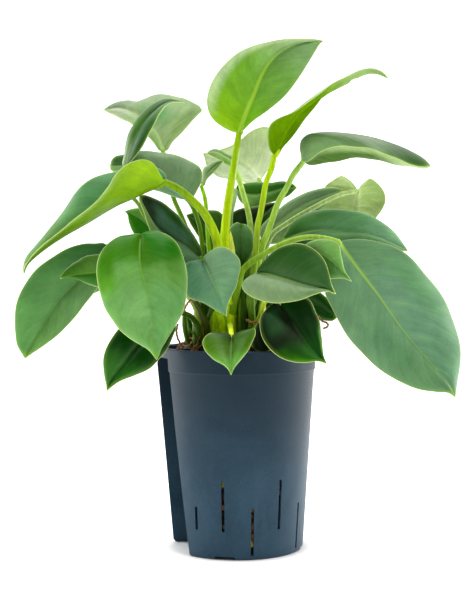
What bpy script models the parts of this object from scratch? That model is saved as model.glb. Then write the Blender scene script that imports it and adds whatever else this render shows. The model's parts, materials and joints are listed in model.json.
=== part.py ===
"""Potted philodendron in a hydroculture pot: the pot, its clay substrate, three short stems, every leaf with its own stalk, a rolled new leaf and a few aerial roots.

Frame: metres, +Z up, the origin at the centre of the pot's foot, the front towards -Y.

The plant is laid out on an upright drawing board through the pot's axis: u runs right, v runs down, BOARD units make one millimetre, and the pot's axis and foot are at (AXIS_U, FOOT_V). The board is drawn in perspective for an eye in front of it, and y is a point's depth in millimetres, positive away from the eye."""

import math

import bmesh
import bpy
import numpy as np
from mathutils import Vector

# ---------------------------------------------------------------- dimensions
MM = 0.001
EYE_DIST, EYE_HEIGHT = 1200.0, 272.0
BOARD, AXIS_U, FOOT_V = 1.04, 237.5, 545.0

POT_HEIGHT = 191.0
RIM_R = 75.0  # outside of the rim band
BAND_LOW = 170.0  # lower edge of the rim band
RING_LOW = 182.0  # the top ring bridges the gauge channel above this
BODY_TOP_R, FOOT_R = 73.6, 62.5
WALL = 2.0
FLOOR = 6.0
FOOT_RECESS = 3.0
CHANNEL_AZ = math.radians(192.0)  # middle of the gauge channel, left and a little forward
FLANGE = [(0.8, 55.6), (2.6, 57.8), (150, 71.4), (174, 73.7), (181, 71.8)]  # height, reach from the axis of the channel's rear wall
SLOT_WIDTH, SLOT_STEP = 2.8, 24.0
SLOT_FIRST = -35.7  # degrees from the front towards +X
NOTCH_WIDTH, NOTCH_HEIGHT, NOTCH_AT = 18.7, 3.0, -10.7
GAP = 0.3
SOIL_TOP = 178.0

BLADE_T = 1.2  # leaf thickness
BLADE_STATIONS, BLADE_ACROSS = 9, 2  # stations along the midrib, strips on each half
STALK_SIDES, STALK_RINGS = 6, 8

# name, side that faces the front (1 upper, -1 under), midrib, one margin, the other margin,
# depth of the midrib at stalk, middle and tip, extra depth of each margin, bulge of each half, stalk points (u, v, y), stalk radius at blade and base
LEAVES = [
    ("leaf_top", 1,
     [(240, 133), (247, 112), (254, 95), (262, 75), (272, 60), (285, 49), (303, 42.5), (324, 41)],
     [(237, 133), (226, 129), (212, 118), (207, 104), (209, 90), (218, 72), (234, 55), (252, 46), (272, 41), (290, 39), (315, 39)],
     [(243, 131), (252, 122), (270, 109), (285, 96), (296, 82), (307, 65), (315, 52), (320, 44)],
     (-8, -6, -14), (-7, -9), (3, 3),
     [(238.8, 134, -8), (232, 175, -8), (227, 210, -9), (224.5, 245, -10), (226, 262, -9)], (2.8, 4.8)),
    ("leaf_upper_right", -1,
     [(275, 156), (281, 140), (291, 122), (303, 108.5), (320, 96), (340, 84.5), (358, 75), (372, 71.3), (388.6, 78)],
     [(270, 150), (268, 136.5), (270.6, 125), (278, 118.7), (296, 109.7), (311, 99.5), (329, 86.8), (346, 78), (362, 70), (373, 68.7), (381.6, 71.5)],
     [(278, 156), (282, 149), (291, 138), (306, 117.4), (321.6, 99.5), (329, 91), (349.7, 81), (367.6, 72.8), (380, 74)],
     (-5, -5, -15), (-22, 24), (2, 2),
     [(274.5, 155, -5), (271, 170, -5), (266, 182.5, -6), (263, 200, -7), (260, 216, -8), (257.5, 227, -8), (256.5, 250, -8), (253, 278, -6), (249, 300, -7)], (2.6, 3.4)),
    ("leaf_right_upper", 1,
     [(303, 161), (299.5, 150), (301, 140), (308, 134), (322, 132), (345, 133), (370, 136.5), (392, 143), (410, 150.5), (424, 159), (431, 166.5)],
     [(307.6, 161.4), (319, 153), (329, 148), (342, 145.5), (355, 146.7), (374, 151.8), (393, 157.6), (411, 164.3), (424, 167.3)],
     [(309, 164.8), (329, 162), (350, 160), (367.6, 159.2), (393, 162.7), (411, 166.4), (425, 168.6)],
     (0, -5, -10), (-36, 36), (3, 3),
     [(303, 162, 0), (293, 175, 0), (287, 187, -1), (278, 203, -2), (272.7, 218, -3), (266.4, 236, -4), (261, 250, -5), (255, 278, 0), (250, 300, 1)], (2.6, 3.6)),
    ("leaf_left_lime", 1,
     [(164.5, 182), (155.4, 186), (143, 191.5), (132, 197), (119, 203), (107, 210), (87.5, 222), (68, 233), (51, 244), (36.7, 255), (27, 265), (23.6, 274.5)],
     [(162, 177), (160, 174), (155, 165), (149, 160.6), (141, 159.4), (131, 162), (122.7, 166.7), (115.4, 175), (110.6, 185), (105.7, 192), (99.7, 199), (85, 211.5), (68, 223.6), (52.4, 235.7), (39, 247.8), (29.4, 258.7), (24.5, 268.4)],
     [(166, 176), (158, 168), (140, 167), (125, 170), (115.4, 172.7), (104.5, 174.5), (93.6, 178), (82.7, 185), (73, 194.5), (64.5, 206.6), (56, 220), (45, 234.5), (34, 248), (25.8, 258.7), (23.3, 268)],
     (-26, -32, -32), (-28, 18), (2, 3),
     [(164.5, 182, -26), (180, 190, -25), (195, 203, -24), (204, 213, -22), (211, 225, -20), (217, 240, -18), (219.5, 252, -17), (221, 272, -14)], (3.2, 5.2)),
    ("leaf_left_blue", 1,
     [(187, 199), (170, 182), (150, 170), (130, 165), (110, 166)],
     [(193, 197), (198.4, 188.4), (201.7, 181), (201.7, 172), (198.4, 166.7), (189.7, 161.3), (179, 156.4), (168, 153), (159.4, 151.3), (146, 150.5), (138.8, 151), (122.5, 155), (116, 156.4), (111.7, 160)],
     [(185.4, 199.8), (174.6, 197), (160.5, 192), (150.7, 189.5), (138, 184), (125, 178), (115, 172.7), (110.6, 170)],
     (10, 28, 48), (8, -4), (3, 3),
     [(187.6, 200, 10), (190, 203, 9), (194, 210, 8), (199.7, 227, 5), (202.7, 255, 2), (204, 290, 0), (206, 318, 4)], (2.0, 2.6)),
    ("leaf_left_narrow", 1,
     [(125, 168), (130, 150), (138, 132), (148, 118), (160, 108), (172, 102.5), (185, 103.3)],
     [(122.5, 164.6), (124.7, 154.8), (126.3, 144), (129, 133), (133.4, 123.4), (141, 113.6), (150.7, 105.5), (160.5, 100.6), (168, 99), (176.7, 100.6)],
     [(133.4, 159), (137.7, 153.7), (143, 145), (149.6, 133), (155, 123.4), (160.5, 113.6), (165.9, 106), (173.5, 102.8)],
     (0, 8, 20), (12, -14), (2, 2),
     [(125, 168, 0), (128, 182, -2), (132.4, 197, -2), (138.4, 204, 0), (142, 211.5, 2), (160, 235, 8), (182, 265, 8), (200, 296, 6), (204, 320, 2)], (1.8, 2.6)),
    ("leaf_left_upper", 1,
     [(163, 151), (157, 136), (148, 124), (135, 114), (120, 108.5), (103.6, 110.4)],
     [(167, 150.5), (172.4, 141.8), (182, 132), (192, 122), (200.6, 113.6), (202.7, 110.4), (200.6, 106), (193, 102), (185.4, 98.4), (176.7, 96.8), (166, 96.3), (155, 97), (146.4, 99.5), (140, 102), (135.5, 101.7), (130, 100.6), (118, 102), (109.5, 106)],
     [(159.4, 150.5), (147.5, 136.4), (132, 124.4), (120.4, 119), (111.7, 114.7)],
     (52, 76, 88), (20, -5), (4, 3),
     [(163, 151, 52), (168, 175, 46), (173.5, 198, 40), (183, 220, 32), (193, 250, 22), (200, 285, 12), (203, 318, 9)], (2.2, 2.8)),
    ("leaf_left_dark", 1,
     [(200, 258), (186, 246), (170, 237), (158, 228), (148, 214), (142, 202), (139.5, 196)],
     [(202.3, 253.7), (198.9, 243), (191.8, 232), (184.5, 223.6), (173.6, 211.5), (161.5, 201.5), (149, 196), (143, 195)],
     [(196, 264), (185, 268), (170, 262), (158, 248), (149.3, 229.7), (143, 211), (139, 200)],
     (-14, -20, -24), (8, -8), (3, 3),
     [(200, 258, -14), (206, 272, -14), (211, 290, -12), (213, 305, -11), (209, 320, -8)], (2.2, 3.0)),
    ("leaf_center_heart", 1,
     [(203, 261), (206.5, 268), (211, 278), (217.7, 294), (223, 306), (226.8, 316.7)],
     [(201.6, 259.8), (193.6, 260.4), (186.5, 263), (184.5, 270), (185, 283), (188, 296.6), (199, 302), (209.6, 306.6), (220.4, 312.7)],
     [(204.3, 256.4), (211, 251), (220.4, 247.7), (228.4, 249), (235, 253.7), (239.8, 260.4), (240.7, 268.5), (239, 276.5), (236.4, 286), (232.4, 294), (228.4, 302), (227, 308.7)],
     (-32, -50, -60), (3, 0), (3, 3),
     [(203, 261, -32), (207, 275, -28), (212, 292, -22), (217, 305, -18)], (2.2, 3.0)),
    ("leaf_center_small", 1,
     [(241, 224), (242, 240), (242.5, 255), (241.5, 270)],
     [(237, 222.5), (233, 225), (229.7, 230), (228, 240), (230, 252), (235, 263)],
     [(245, 224.5), (251.3, 229.8), (253.9, 238), (253, 249.5), (247, 262)],
     (6, 5, 6), (1, 1), (2, 2),
     [(241, 224, 6), (243, 240, 11), (243, 258, 12), (240, 276, 8)], (1.8, 2.4)),
    ("leaf_rim_front", 1,
     [(231.5, 336), (231.3, 350), (231, 363), (231, 375)],
     [(228, 334), (222.9, 333.2), (210.6, 333.2), (203.5, 337.8), (202, 343), (205.5, 351), (212.7, 358.2), (222.9, 364.3), (228, 369.4)],
     [(235, 334.7), (243.3, 330.6), (254.5, 328), (255.5, 333.7), (250.4, 345), (243.3, 357), (235, 367.3)],
     (-76, -92, -106), (4, 4), (3, 3),
     [(231.5, 336, -76), (231, 331, -64), (230.5, 327, -48), (230, 325, -30), (229.5, 325, -17)], (2.0, 2.6)),
    ("leaf_center_right", 1,
     [(256.5, 274), (267, 274.5), (284.6, 279), (303.4, 284.5), (320.8, 288.6), (336, 294)],
     [(251, 276.5), (244.5, 280.5), (241.8, 284.5), (243.8, 291), (252.5, 297.3), (263, 301.3), (275.3, 303.3), (287.3, 302.6), (300.7, 300), (312.8, 295.3), (323.5, 292), (331.5, 292)],
     [(257, 271), (259, 267), (266, 257.8), (274, 251), (284.6, 245.7), (298, 244), (310, 247), (319.5, 253.7), (326, 263), (329.5, 273.8), (331.5, 284.5)],
     (-46, -64, -76), (-10, 0), (3, 3),
     [(256.5, 274, -46), (253, 284, -38), (252, 300, -26), (252, 318, -14)], (2.4, 3.0)),
    ("leaf_front_dark", 1,
     [(279, 303), (290, 318), (302, 335), (314, 351), (326.9, 364.2)],
     [(272, 304), (266, 309), (260.5, 317), (259.7, 326), (262, 337), (269, 348), (280, 357.5), (292.5, 362), (305, 363), (317.5, 361.5)],
     [(290, 299), (300, 297.5), (308, 299.7), (316.7, 313.8), (320.6, 323), (322, 335.6), (322, 346.6), (323.8, 357.5)],
     (-54, -74, -88), (-8, 5), (3, 3),
     [(279, 303, -54), (271, 299, -44), (264, 303, -33), (261, 314, -24), (256, 325, -14)], (2.2, 2.8)),
    ("leaf_big_right", 1,
     [(339.4, 242), (348.8, 256), (362.8, 274.7), (378.4, 295), (395.6, 320), (411, 340), (430, 362), (448.8, 384), (455, 398)],
     [(348.8, 239.5), (366, 239.6), (392.5, 246.6), (407, 256.8), (422, 271.6), (436.3, 287), (448.8, 306), (456.6, 326), (460, 346.6), (459.7, 365), (457.3, 381)],
     [(336, 246), (330, 258), (325.5, 275), (325.3, 293.4), (331.6, 307.5), (339.4, 323), (348.8, 338.8), (362.8, 354.4), (378.4, 368.4), (398.8, 381), (417.5, 388.8), (436, 392), (448.8, 393.4)],
     (-36, -36, -42), (22, -8), (5, 5),
     [(339.4, 242, -36), (323.8, 238, -34), (308, 237.2, -31), (292.5, 240.3, -28), (277, 246.6, -25), (261, 256, -20), (250, 263, -17), (243, 270, -15), (239, 282, -14)], (2.4, 3.2)),
    ("leaf_right_mid", 1,
     [(285, 240), (300, 234), (316, 230.6), (331.6, 230.5), (347, 232.5), (364.4, 233.3), (385, 240), (408, 251.3)],
     [(283, 238), (286.3, 232.5), (292.5, 223), (303.4, 215.3), (317.5, 210.3), (334.7, 208.6), (352, 209.8), (367.5, 214.5), (381.6, 222.3), (394, 232.5), (402, 242)],
     [(290, 246), (305, 250), (320, 251), (335, 248), (345.6, 244), (356.6, 240.5), (370.6, 241), (386, 245.8), (397, 250.5)],
     (6, 2, -2), (12, -5), (3, 3),
     [(285, 240, 6), (276, 252, 4), (266, 266, 2), (258, 285, 0), (252, 305, -1)], (2.2, 2.8)),
    ("leaf_right_small", 1,
     [(303, 250), (318, 253), (332, 262), (342, 272), (352, 281.7)],
     [(306.6, 244), (317.5, 239.5), (327, 238.8), (336, 242), (339.4, 246.6), (341, 257.5), (344, 268.4)],
     [(302, 258), (310, 270), (320, 277), (331.6, 279), (342.5, 278.5)],
     (-48, -55, -58), (0, 0), (2, 2),
     [(303, 250, -48), (292, 258, -38), (276, 270, -28), (262, 284, -20), (254, 300, -12)], (1.8, 2.4)),
    ("leaf_right_pale", -1,
     [(358, 191), (357, 203), (354, 220), (348, 244)],
     [(355, 188), (349, 180), (342, 175.5), (333, 180), (325, 187), (321, 197), (322, 210), (330, 228), (340, 240)],
     [(361, 188), (366, 181), (370, 178.5), (378.4, 184), (384.7, 193.4), (385.5, 201), (381.6, 210.6), (377, 217), (366, 232), (355, 242)],
     (44, 54, 46), (3, 6), (3, 3),
     [(358, 191, 44), (339.4, 195, 37), (308, 210.6, 26), (284.5, 225, 20), (272.7, 234, 16), (267, 245, 12), (262, 262, 9), (256, 285, 11), (251, 300, 12)], (2.2, 3.0)),
    ("leaf_back_right_dark", 1,
     [(262, 240), (278, 222), (298, 207), (320, 197), (343, 189.5)],
     [(260.4, 237), (260.2, 228), (266, 221), (281.6, 207.5), (297, 196.6), (314.4, 189.5), (330, 187.5)],
     [(268, 244), (284, 241), (296, 230), (310, 219), (322, 208), (335, 198)],
     (27, 37, 44), (4, -1), (2, 2),
     [(262, 240, 27), (258, 256, 24), (253, 275, 21), (248, 300, 20)], (2.0, 2.6)),
    ("leaf_back_pale", -1,
     [(260, 181), (248, 170), (230, 160), (203, 153.5)],
     [(266.4, 171.8), (271, 164.6), (274.5, 155), (272, 138), (269, 128), (264.6, 127), (257.5, 128.5), (248.6, 133.4), (241.9, 138.8), (230, 146), (215, 151)],
     [(252, 183), (242, 181.6), (227, 180), (220, 177), (213.8, 172.7), (206.6, 164.6), (204.8, 159)],
     (78, 90, 92), (12, 0), (3, 3),
     [(260, 181, 78), (262, 200, 74), (259, 228, 60), (252, 262, 40), (249, 285, 34), (247, 303, 30)], (2.2, 2.8)),
    ("leaf_back_curled", 1,
     [(234.5, 168), (232, 161), (225.4, 156.8), (219, 153.2), (213, 151.9), (206.6, 153.5)],
     [(232.5, 160), (231, 156.6), (225.4, 154.5), (219, 151), (213, 150.2)],
     [(231, 167), (228, 165), (222, 162), (213, 157)],
     (56, 62, 66), (14, -10), (2, 2),
     [(234.5, 168, 56), (238, 177, 50), (243, 193.5, 42), (248.5, 213.6, 32), (250.4, 229, 25), (250, 255, 17), (246, 282, 10)], (2.6, 3.4)),
    ("leaf_back_small", 1,
     [(201.7, 185), (208, 174), (216, 166), (224, 161.5)],
     [(202.5, 176), (203, 169), (209, 164.6), (220, 160)],
     [(204, 184), (208.4, 178), (213.8, 172.7), (219, 167)],
     (33, 37, 41), (3, -3), (2, 2),
     [(201.3, 186, 33), (204.8, 197.7, 29), (206.2, 209, 26), (207, 225, 20), (209, 250, 13), (212, 280, 8), (213, 310, 6)], (1.8, 2.4)),
    ("leaf_back_dark", 1,
     [(236, 190), (250, 194), (268, 192), (283, 188), (297, 188)],
     [(237, 185.5), (242.3, 183.4), (257.5, 182.5), (271, 183), (278, 181.2), (285, 181.2), (293, 184)],
     [(238.8, 199.5), (247.7, 208.4), (250.4, 212), (266.4, 204), (276, 201), (288, 196)],
     (62, 66, 60), (4, -3), (2, 2),
     [(236, 190, 62), (233.5, 203, 46), (231, 215, 39), (231, 232, 32), (231, 262, 20), (232, 300, 11)], (2.0, 2.6)),
    ("leaf_deep_dark", 1,
     [(238, 238), (250, 226), (264, 213), (278, 202)],
     [(231, 230), (230.7, 216), (240.5, 208.4), (250.4, 207), (265, 204)],
     [(246, 243), (256, 238), (264, 226), (272, 214)],
     (46, 50, 54), (2, -2), (2, 2),
     [(238, 238, 46), (239, 255, 34), (240, 280, 18), (241, 300, 10)], (2.0, 2.6)),
    ("leaf_between_stalks", 1,
     [(221, 252), (214, 234), (203, 222), (186, 215)],
     [(226, 240), (226, 222), (219, 211), (208.4, 210.5), (196, 212)],
     [(215, 254), (206, 246), (197, 234), (190, 223)],
     (28, 34, 38), (2, -2), (2, 2),
     [(221, 252, 28), (222, 270, 18), (222, 290, 11)], (2.0, 2.6)),
    ("leaf_left_small", 1,
     [(165, 240), (150, 228), (138, 218), (124.5, 211.5)],
     [(166, 232), (158, 220), (148, 212), (142, 209.5), (138.4, 208.5), (131, 209)],
     [(160, 246), (148, 243), (138, 238), (132.4, 231), (128.7, 222.4), (127.5, 215)],
     (24, 26, 22), (2, -2), (2, 2),
     [(165, 240, 24), (178, 254, 20), (191, 276, 17), (199, 300, 17), (203, 325, 18)], (1.8, 2.4)),
    ("leaf_big_left", 1,
     [(108, 246), (97, 262), (79, 279), (58.5, 300), (43, 325), (33, 343), (25, 359)],
     [(103, 243), (94.9, 243.4), (85, 243.4), (67, 248.3), (49.4, 259), (33.6, 273), (21.7, 291), (15.8, 306.7), (14.2, 320.5), (15, 334), (17, 345)],
     [(112, 252), (113, 262), (105, 275), (96.7, 288.3), (92, 294.6), (83, 306), (71.5, 322), (60, 333.6), (45, 345), (33, 353)],
     (-12, -12, -20), (-3, -2), (4, 4),
     [(108, 246, -12), (125, 241, -9), (150, 247, -5), (175, 262, 0), (195, 285, 0), (203, 305, -4), (202, 325, -6)], (2.2, 3.0)),
    ("leaf_left_folded", 1,
     [(116, 268), (97, 272), (80, 274), (70, 275.5), (60, 278.5)],
     [(112, 262), (106, 257), (99.7, 255), (85, 257), (74, 262.4), (64.5, 271)],
     [(112, 280), (104, 286), (96.6, 287), (90, 285.4), (82.7, 282), (75.4, 278.5), (68, 277)],
     (-40, -44, -46), (10, 4), (2, 2),
     [(116, 268, -40), (130, 270, -38), (155, 276, -32), (178, 288, -22), (193, 303, -15), (200, 324, -12)], (1.8, 2.6)),
    ("leaf_big_front", 1,
     [(141, 235), (139.5, 254), (140.4, 266), (145, 284), (148.4, 300), (153, 323), (156, 346), (157, 360)],
     [(138, 233.5), (131, 234.5), (119, 237), (107, 245.4), (100.3, 255), (97.5, 268.4), (98, 288), (103.6, 307), (111.7, 320), (118.5, 329), (129, 337), (140.4, 344), (148.4, 349.7)],
     [(143.8, 233), (150.7, 231.2), (158.7, 232), (168, 236), (177, 244), (184, 256.7), (187.2, 269.4), (187.7, 284.3), (186.3, 298), (181.7, 311.8), (176, 323.3), (166.8, 339.4), (161, 349.7)],
     (-62, -88, -102), (5, 8), (5, 5),
     [(141, 235, -62), (150, 246, -55), (166, 263, -43), (182, 283, -28), (196, 303, -20), (206, 322, -16)], (2.4, 3.0)),
    ("leaf_bottom_left", 1,
     [(168, 318), (152, 334), (139, 346), (124, 364), (110.5, 383), (106.5, 392)],
     [(158, 314), (140, 316), (126, 321), (118, 329), (110.5, 339.4), (106, 349.7), (103.4, 362), (104.2, 375), (106, 385)],
     [(174, 320), (176, 329), (174.8, 332.5), (170.2, 344), (165.6, 352), (157.6, 360.6), (151.8, 366.4), (145, 371), (133.5, 376), (122, 380.7), (112.8, 386.5)],
     (-38, -56, -68), (0, -3), (4, 4),
     [(168, 318, -38), (178, 313, -32), (190, 316, -24), (198, 326, -16)], (2.2, 2.8)),
    ("leaf_low_right", 1,
     [(268, 292), (292, 296), (315, 305), (337, 318)],
     [(280, 284), (300, 284), (322, 294), (333, 306)],
     [(276, 304), (296, 316), (320, 320), (332, 321)],
     (10, 14, 16), (2, -2), (2, 2),
     [(268, 292, 10), (260, 300, 8), (252, 312, 8)], (1.8, 2.4)),
    ("leaf_low_front", 1,
     [(262, 322), (262, 333), (264, 345), (268, 352)],
     [(257, 324), (253, 334), (252, 346), (260, 352)],
     [(268, 324), (272, 334), (273, 345)],
     (-48, -54, -57), (1, 1), (2, 2),
     [(262, 322, -48), (260, 329, -42), (254, 337, -29), (248, 341, -14)], (1.6, 2.0)),
    ("leaf_rear_right", 1,
     [(338, 258), (360, 275), (385, 300), (410, 335), (432, 362)],
     [(350, 248), (375, 255), (400, 272), (425, 300), (438, 330), (440, 350)],
     [(334, 270), (340, 295), (355, 320), (380, 345), (410, 362)],
     (42, 78, 96), (8, 8), (4, 4),
     [(338, 258, 42), (315, 262, 34), (290, 275, 22), (268, 290, 14), (253, 308, 11)], (2.4, 3.0)),
    ("leaf_rear_left", 1,
     [(155, 262), (125, 262), (95, 275), (65, 300), (45, 325)],
     [(150, 250), (125, 248), (95, 252), (65, 262), (42, 285), (36, 310)],
     [(150, 275), (125, 286), (103, 290), (85, 298), (70, 312), (56, 325)],
     (34, 68, 88), (4, 4), (4, 4),
     [(155, 262, 34), (172, 275, 26), (190, 294, 16), (200, 318, 12)], (2.4, 3.0)),
    ("leaf_rear_left_upper", 1,
     [(190, 190), (172, 178), (152, 170), (130, 163)],
     [(194, 180), (188, 168), (170, 160), (148, 156), (136, 157)],
     [(180, 192), (160, 185), (140, 178), (130, 170)],
     (64, 96, 104), (6, -4), (3, 3),
     [(190, 190, 64), (193, 207, 58), (199, 227, 50), (203, 250, 42), (207, 280, 26), (208, 312, 14)], (2.2, 2.8)),
    ("leaf_rear_top", 1,
     [(240, 128), (250, 105), (262, 82), (280, 62)],
     [(232, 120), (222, 108), (218, 95), (226, 78), (242, 64), (262, 56)],
     [(248, 122), (262, 108), (278, 92), (290, 76), (290, 66)],
     (58, 84, 100), (6, 6), (4, 4),
     [(240, 128, 58), (237, 150, 46), (233.5, 175, 34), (229.5, 205, 24), (226, 240, 12), (226, 262, 5)], (2.4, 3.2)),
    ("leaf_rear_right_upper", 1,
     [(292, 232), (318, 222), (345, 214), (372, 212)],
     [(300, 222), (318, 206), (340, 196), (362, 196)],
     [(305, 238), (330, 236), (355, 230), (368, 222)],
     (60, 86, 102), (4, 2), (3, 3),
     [(292, 232, 60), (284, 245, 46), (272, 262, 30), (260, 285, 18), (252, 305, 14)], (2.2, 2.8)),
    ("leaf_rear_hanging_right", 1,
     [(270, 300), (285, 325), (292, 360), (290, 400)],
     [(262, 310), (258, 340), (268, 375), (282, 395)],
     [(285, 305), (302, 325), (308, 350), (300, 385)],
     (44, 88, 98), (4, 4), (4, 4),
     [(270, 300, 44), (262, 296, 32), (254, 302, 20), (248, 318, 12)], (2.4, 3.0)),
    ("leaf_rear_hanging_left", 1,
     [(214, 318), (200, 334), (190, 365), (196, 402)],
     [(205, 322), (188, 334), (178, 360), (182, 388)],
     [(222, 322), (222, 345), (216, 375), (206, 396)],
     (60, 96, 100), (4, 4), (4, 4),
     [(214, 318, 60), (216, 310, 46), (219, 310, 28), (221, 322, 14)], (2.2, 2.8)),
]

# name, axis points (u, v, y), radius at foot and top; the feet stand in the substrate
STEMS = [
    ("stem_main", [(229, 362, 0), (229, 330, 0), (229.5, 300, -3), (229.5, 266, -5)], 9.2, 7.4),
    ("stem_right", [(246.5, 362, 5), (246, 330, 4), (245.5, 308, 3)], 5.8, 5.2),
    ("stem_left", [(205, 362, 2), (205, 345, 1), (206, 332, 0)], 6.4, 5.6),
]
NEW_LEAF = [(232.6, 262, -4), (232, 250, -5), (231, 240, -6), (230.3, 231, -6.5)]
ROOTS = [
    ("root_left_high", [(195, 301, -39), (192, 300, -42), (189, 301.5, -44), (186, 306, -44), (183, 312, -43)], 0.8),
    ("root_left_low", [(177.6, 324, -14), (176.5, 331, -15), (178, 339, -15), (182, 346, -14)], 0.8),
    ("root_left_branch", [(187, 347, -30), (190, 345, -30), (192.5, 341, -29)], 0.7),
    ("root_right_ring", [(247, 320, -34), (252, 322.5, -36), (258, 321, -35)], 1.0),
    ("root_far_right", [(318, 316, -8), (322, 321, -9), (327, 323, -9), (328, 326, -9), (323, 329, -9)], 0.8),
]


# ---------------------------------------------------------------- the board and its curves
def place(points):
    """Board points (u, v) with depth y, in millimetres of the plant's own frame."""
    p = np.asarray(points, float)
    reach = (EYE_DIST + p[..., 2]) / EYE_DIST
    x = (p[..., 0] - AXIS_U) / BOARD * reach
    z = EYE_HEIGHT + ((FOOT_V - p[..., 1]) / BOARD - EYE_HEIGHT) * reach
    return np.stack([x, p[..., 2], z], -1)


def smooth(points, count):
    """A centripetal Catmull-Rom curve through the points, as count points evenly spaced along it."""
    p = np.asarray(points, float)
    p = np.vstack([2 * p[0] - p[1], p, 2 * p[-1] - p[-2]])
    fine = []
    for i in range(1, len(p) - 2):
        a, b, c, d = p[i - 1 : i + 3]
        t0 = 0.0
        t1 = t0 + max(np.linalg.norm(b - a), 1e-6) ** 0.5
        t2 = t1 + max(np.linalg.norm(c - b), 1e-6) ** 0.5
        t3 = t2 + max(np.linalg.norm(d - c), 1e-6) ** 0.5
        t = np.linspace(t1, t2, 12, endpoint=False)[:, None]
        ab = (t1 - t) / (t1 - t0) * a + (t - t0) / (t1 - t0) * b
        bc = (t2 - t) / (t2 - t1) * b + (t - t1) / (t2 - t1) * c
        cd = (t3 - t) / (t3 - t2) * c + (t - t2) / (t3 - t2) * d
        abc = (t2 - t) / (t2 - t0) * ab + (t - t0) / (t2 - t0) * bc
        bcd = (t3 - t) / (t3 - t1) * bc + (t - t1) / (t3 - t1) * cd
        fine.append((t2 - t) / (t2 - t1) * abc + (t - t1) / (t2 - t1) * bcd)
    fine = np.vstack([*fine, p[-2][None]])
    run = np.concatenate([[0.0], np.cumsum(np.linalg.norm(np.diff(fine, axis=0), axis=1))])
    at = np.linspace(0, run[-1], count)
    return np.stack([np.interp(at, run, fine[:, k]) for k in range(p.shape[1])], -1)


def warp(curve, power):
    """The same curve, its points bunched towards its start."""
    at = np.linspace(0, 1, len(curve)) ** power * (len(curve) - 1)
    return np.stack([np.interp(at, np.arange(len(curve)), curve[:, k]) for k in range(curve.shape[1])], -1)


def blade(row, stations, across, shift=0.0):
    """The blade's middle surface as a grid (stations, 2*across+1, 3) in millimetres, from one margin over the midrib to the other, and its normals towards the upper side."""
    _, face, mid, one, other, depth, extra, bulge, _, _ = row
    fine = 121
    t = np.linspace(0, 1, fine)
    y = depth[0] * (1 - t) * (1 - 2 * t) + 4 * depth[1] * t * (1 - t) + depth[2] * t * (2 * t - 1) + shift
    rib = warp(smooth(mid, fine), 1.25)
    rib_y = np.interp(t**1.25, t, y)
    swell = np.sin(np.pi * np.clip(t, 0, 1)) ** 0.6
    spine = place(np.column_stack([rib, rib_y]))
    sides = []
    for line, more in ((one, extra[0]), (other, extra[1])):
        edge = smooth([mid[0], *line, mid[-1]], fine)
        sides.append(place(np.column_stack([edge, rib_y + more * swell])))
    take = np.round(np.linspace(0, 1, stations) * (fine - 1)).astype(int)
    spine, left, right, swell = spine[take], sides[0][take], sides[1][take], swell[take]
    along = np.gradient(spine, axis=0)
    grid = np.zeros((stations, 2 * across + 1, 3))
    for j in range(2 * across + 1):
        s = (j - across) / across
        edge = left if s < 0 else right
        grid[:, j] = spine + (edge - spine) * abs(s)
    for side, (edge, lift) in enumerate(((left, bulge[0]), (right, bulge[1]))):
        turn = np.cross(along, edge - spine)
        turn /= np.linalg.norm(turn, axis=1, keepdims=True) + 1e-9
        turn *= np.where((turn[:, 1] < 0) == (face > 0), 1, -1)[:, None]
        for j in range(1, across):
            s = j / across
            grid[:, across - j if side == 0 else across + j] += turn * (lift * 4 * s * (1 - s) * swell)[:, None]
    return grid


def normals(grid, face):
    du = np.gradient(grid, axis=0)
    dv = np.gradient(grid, axis=1)
    du[0], du[-1] = du[1], du[-2]
    dv[0], dv[-1] = dv[1], dv[-2]
    n = np.cross(du, dv)
    n /= np.linalg.norm(n, axis=2, keepdims=True) + 1e-9
    middle = n[len(n) // 2].mean(axis=0)
    return n * (1 if (middle[1] < 0) == (face > 0) else -1)


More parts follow.
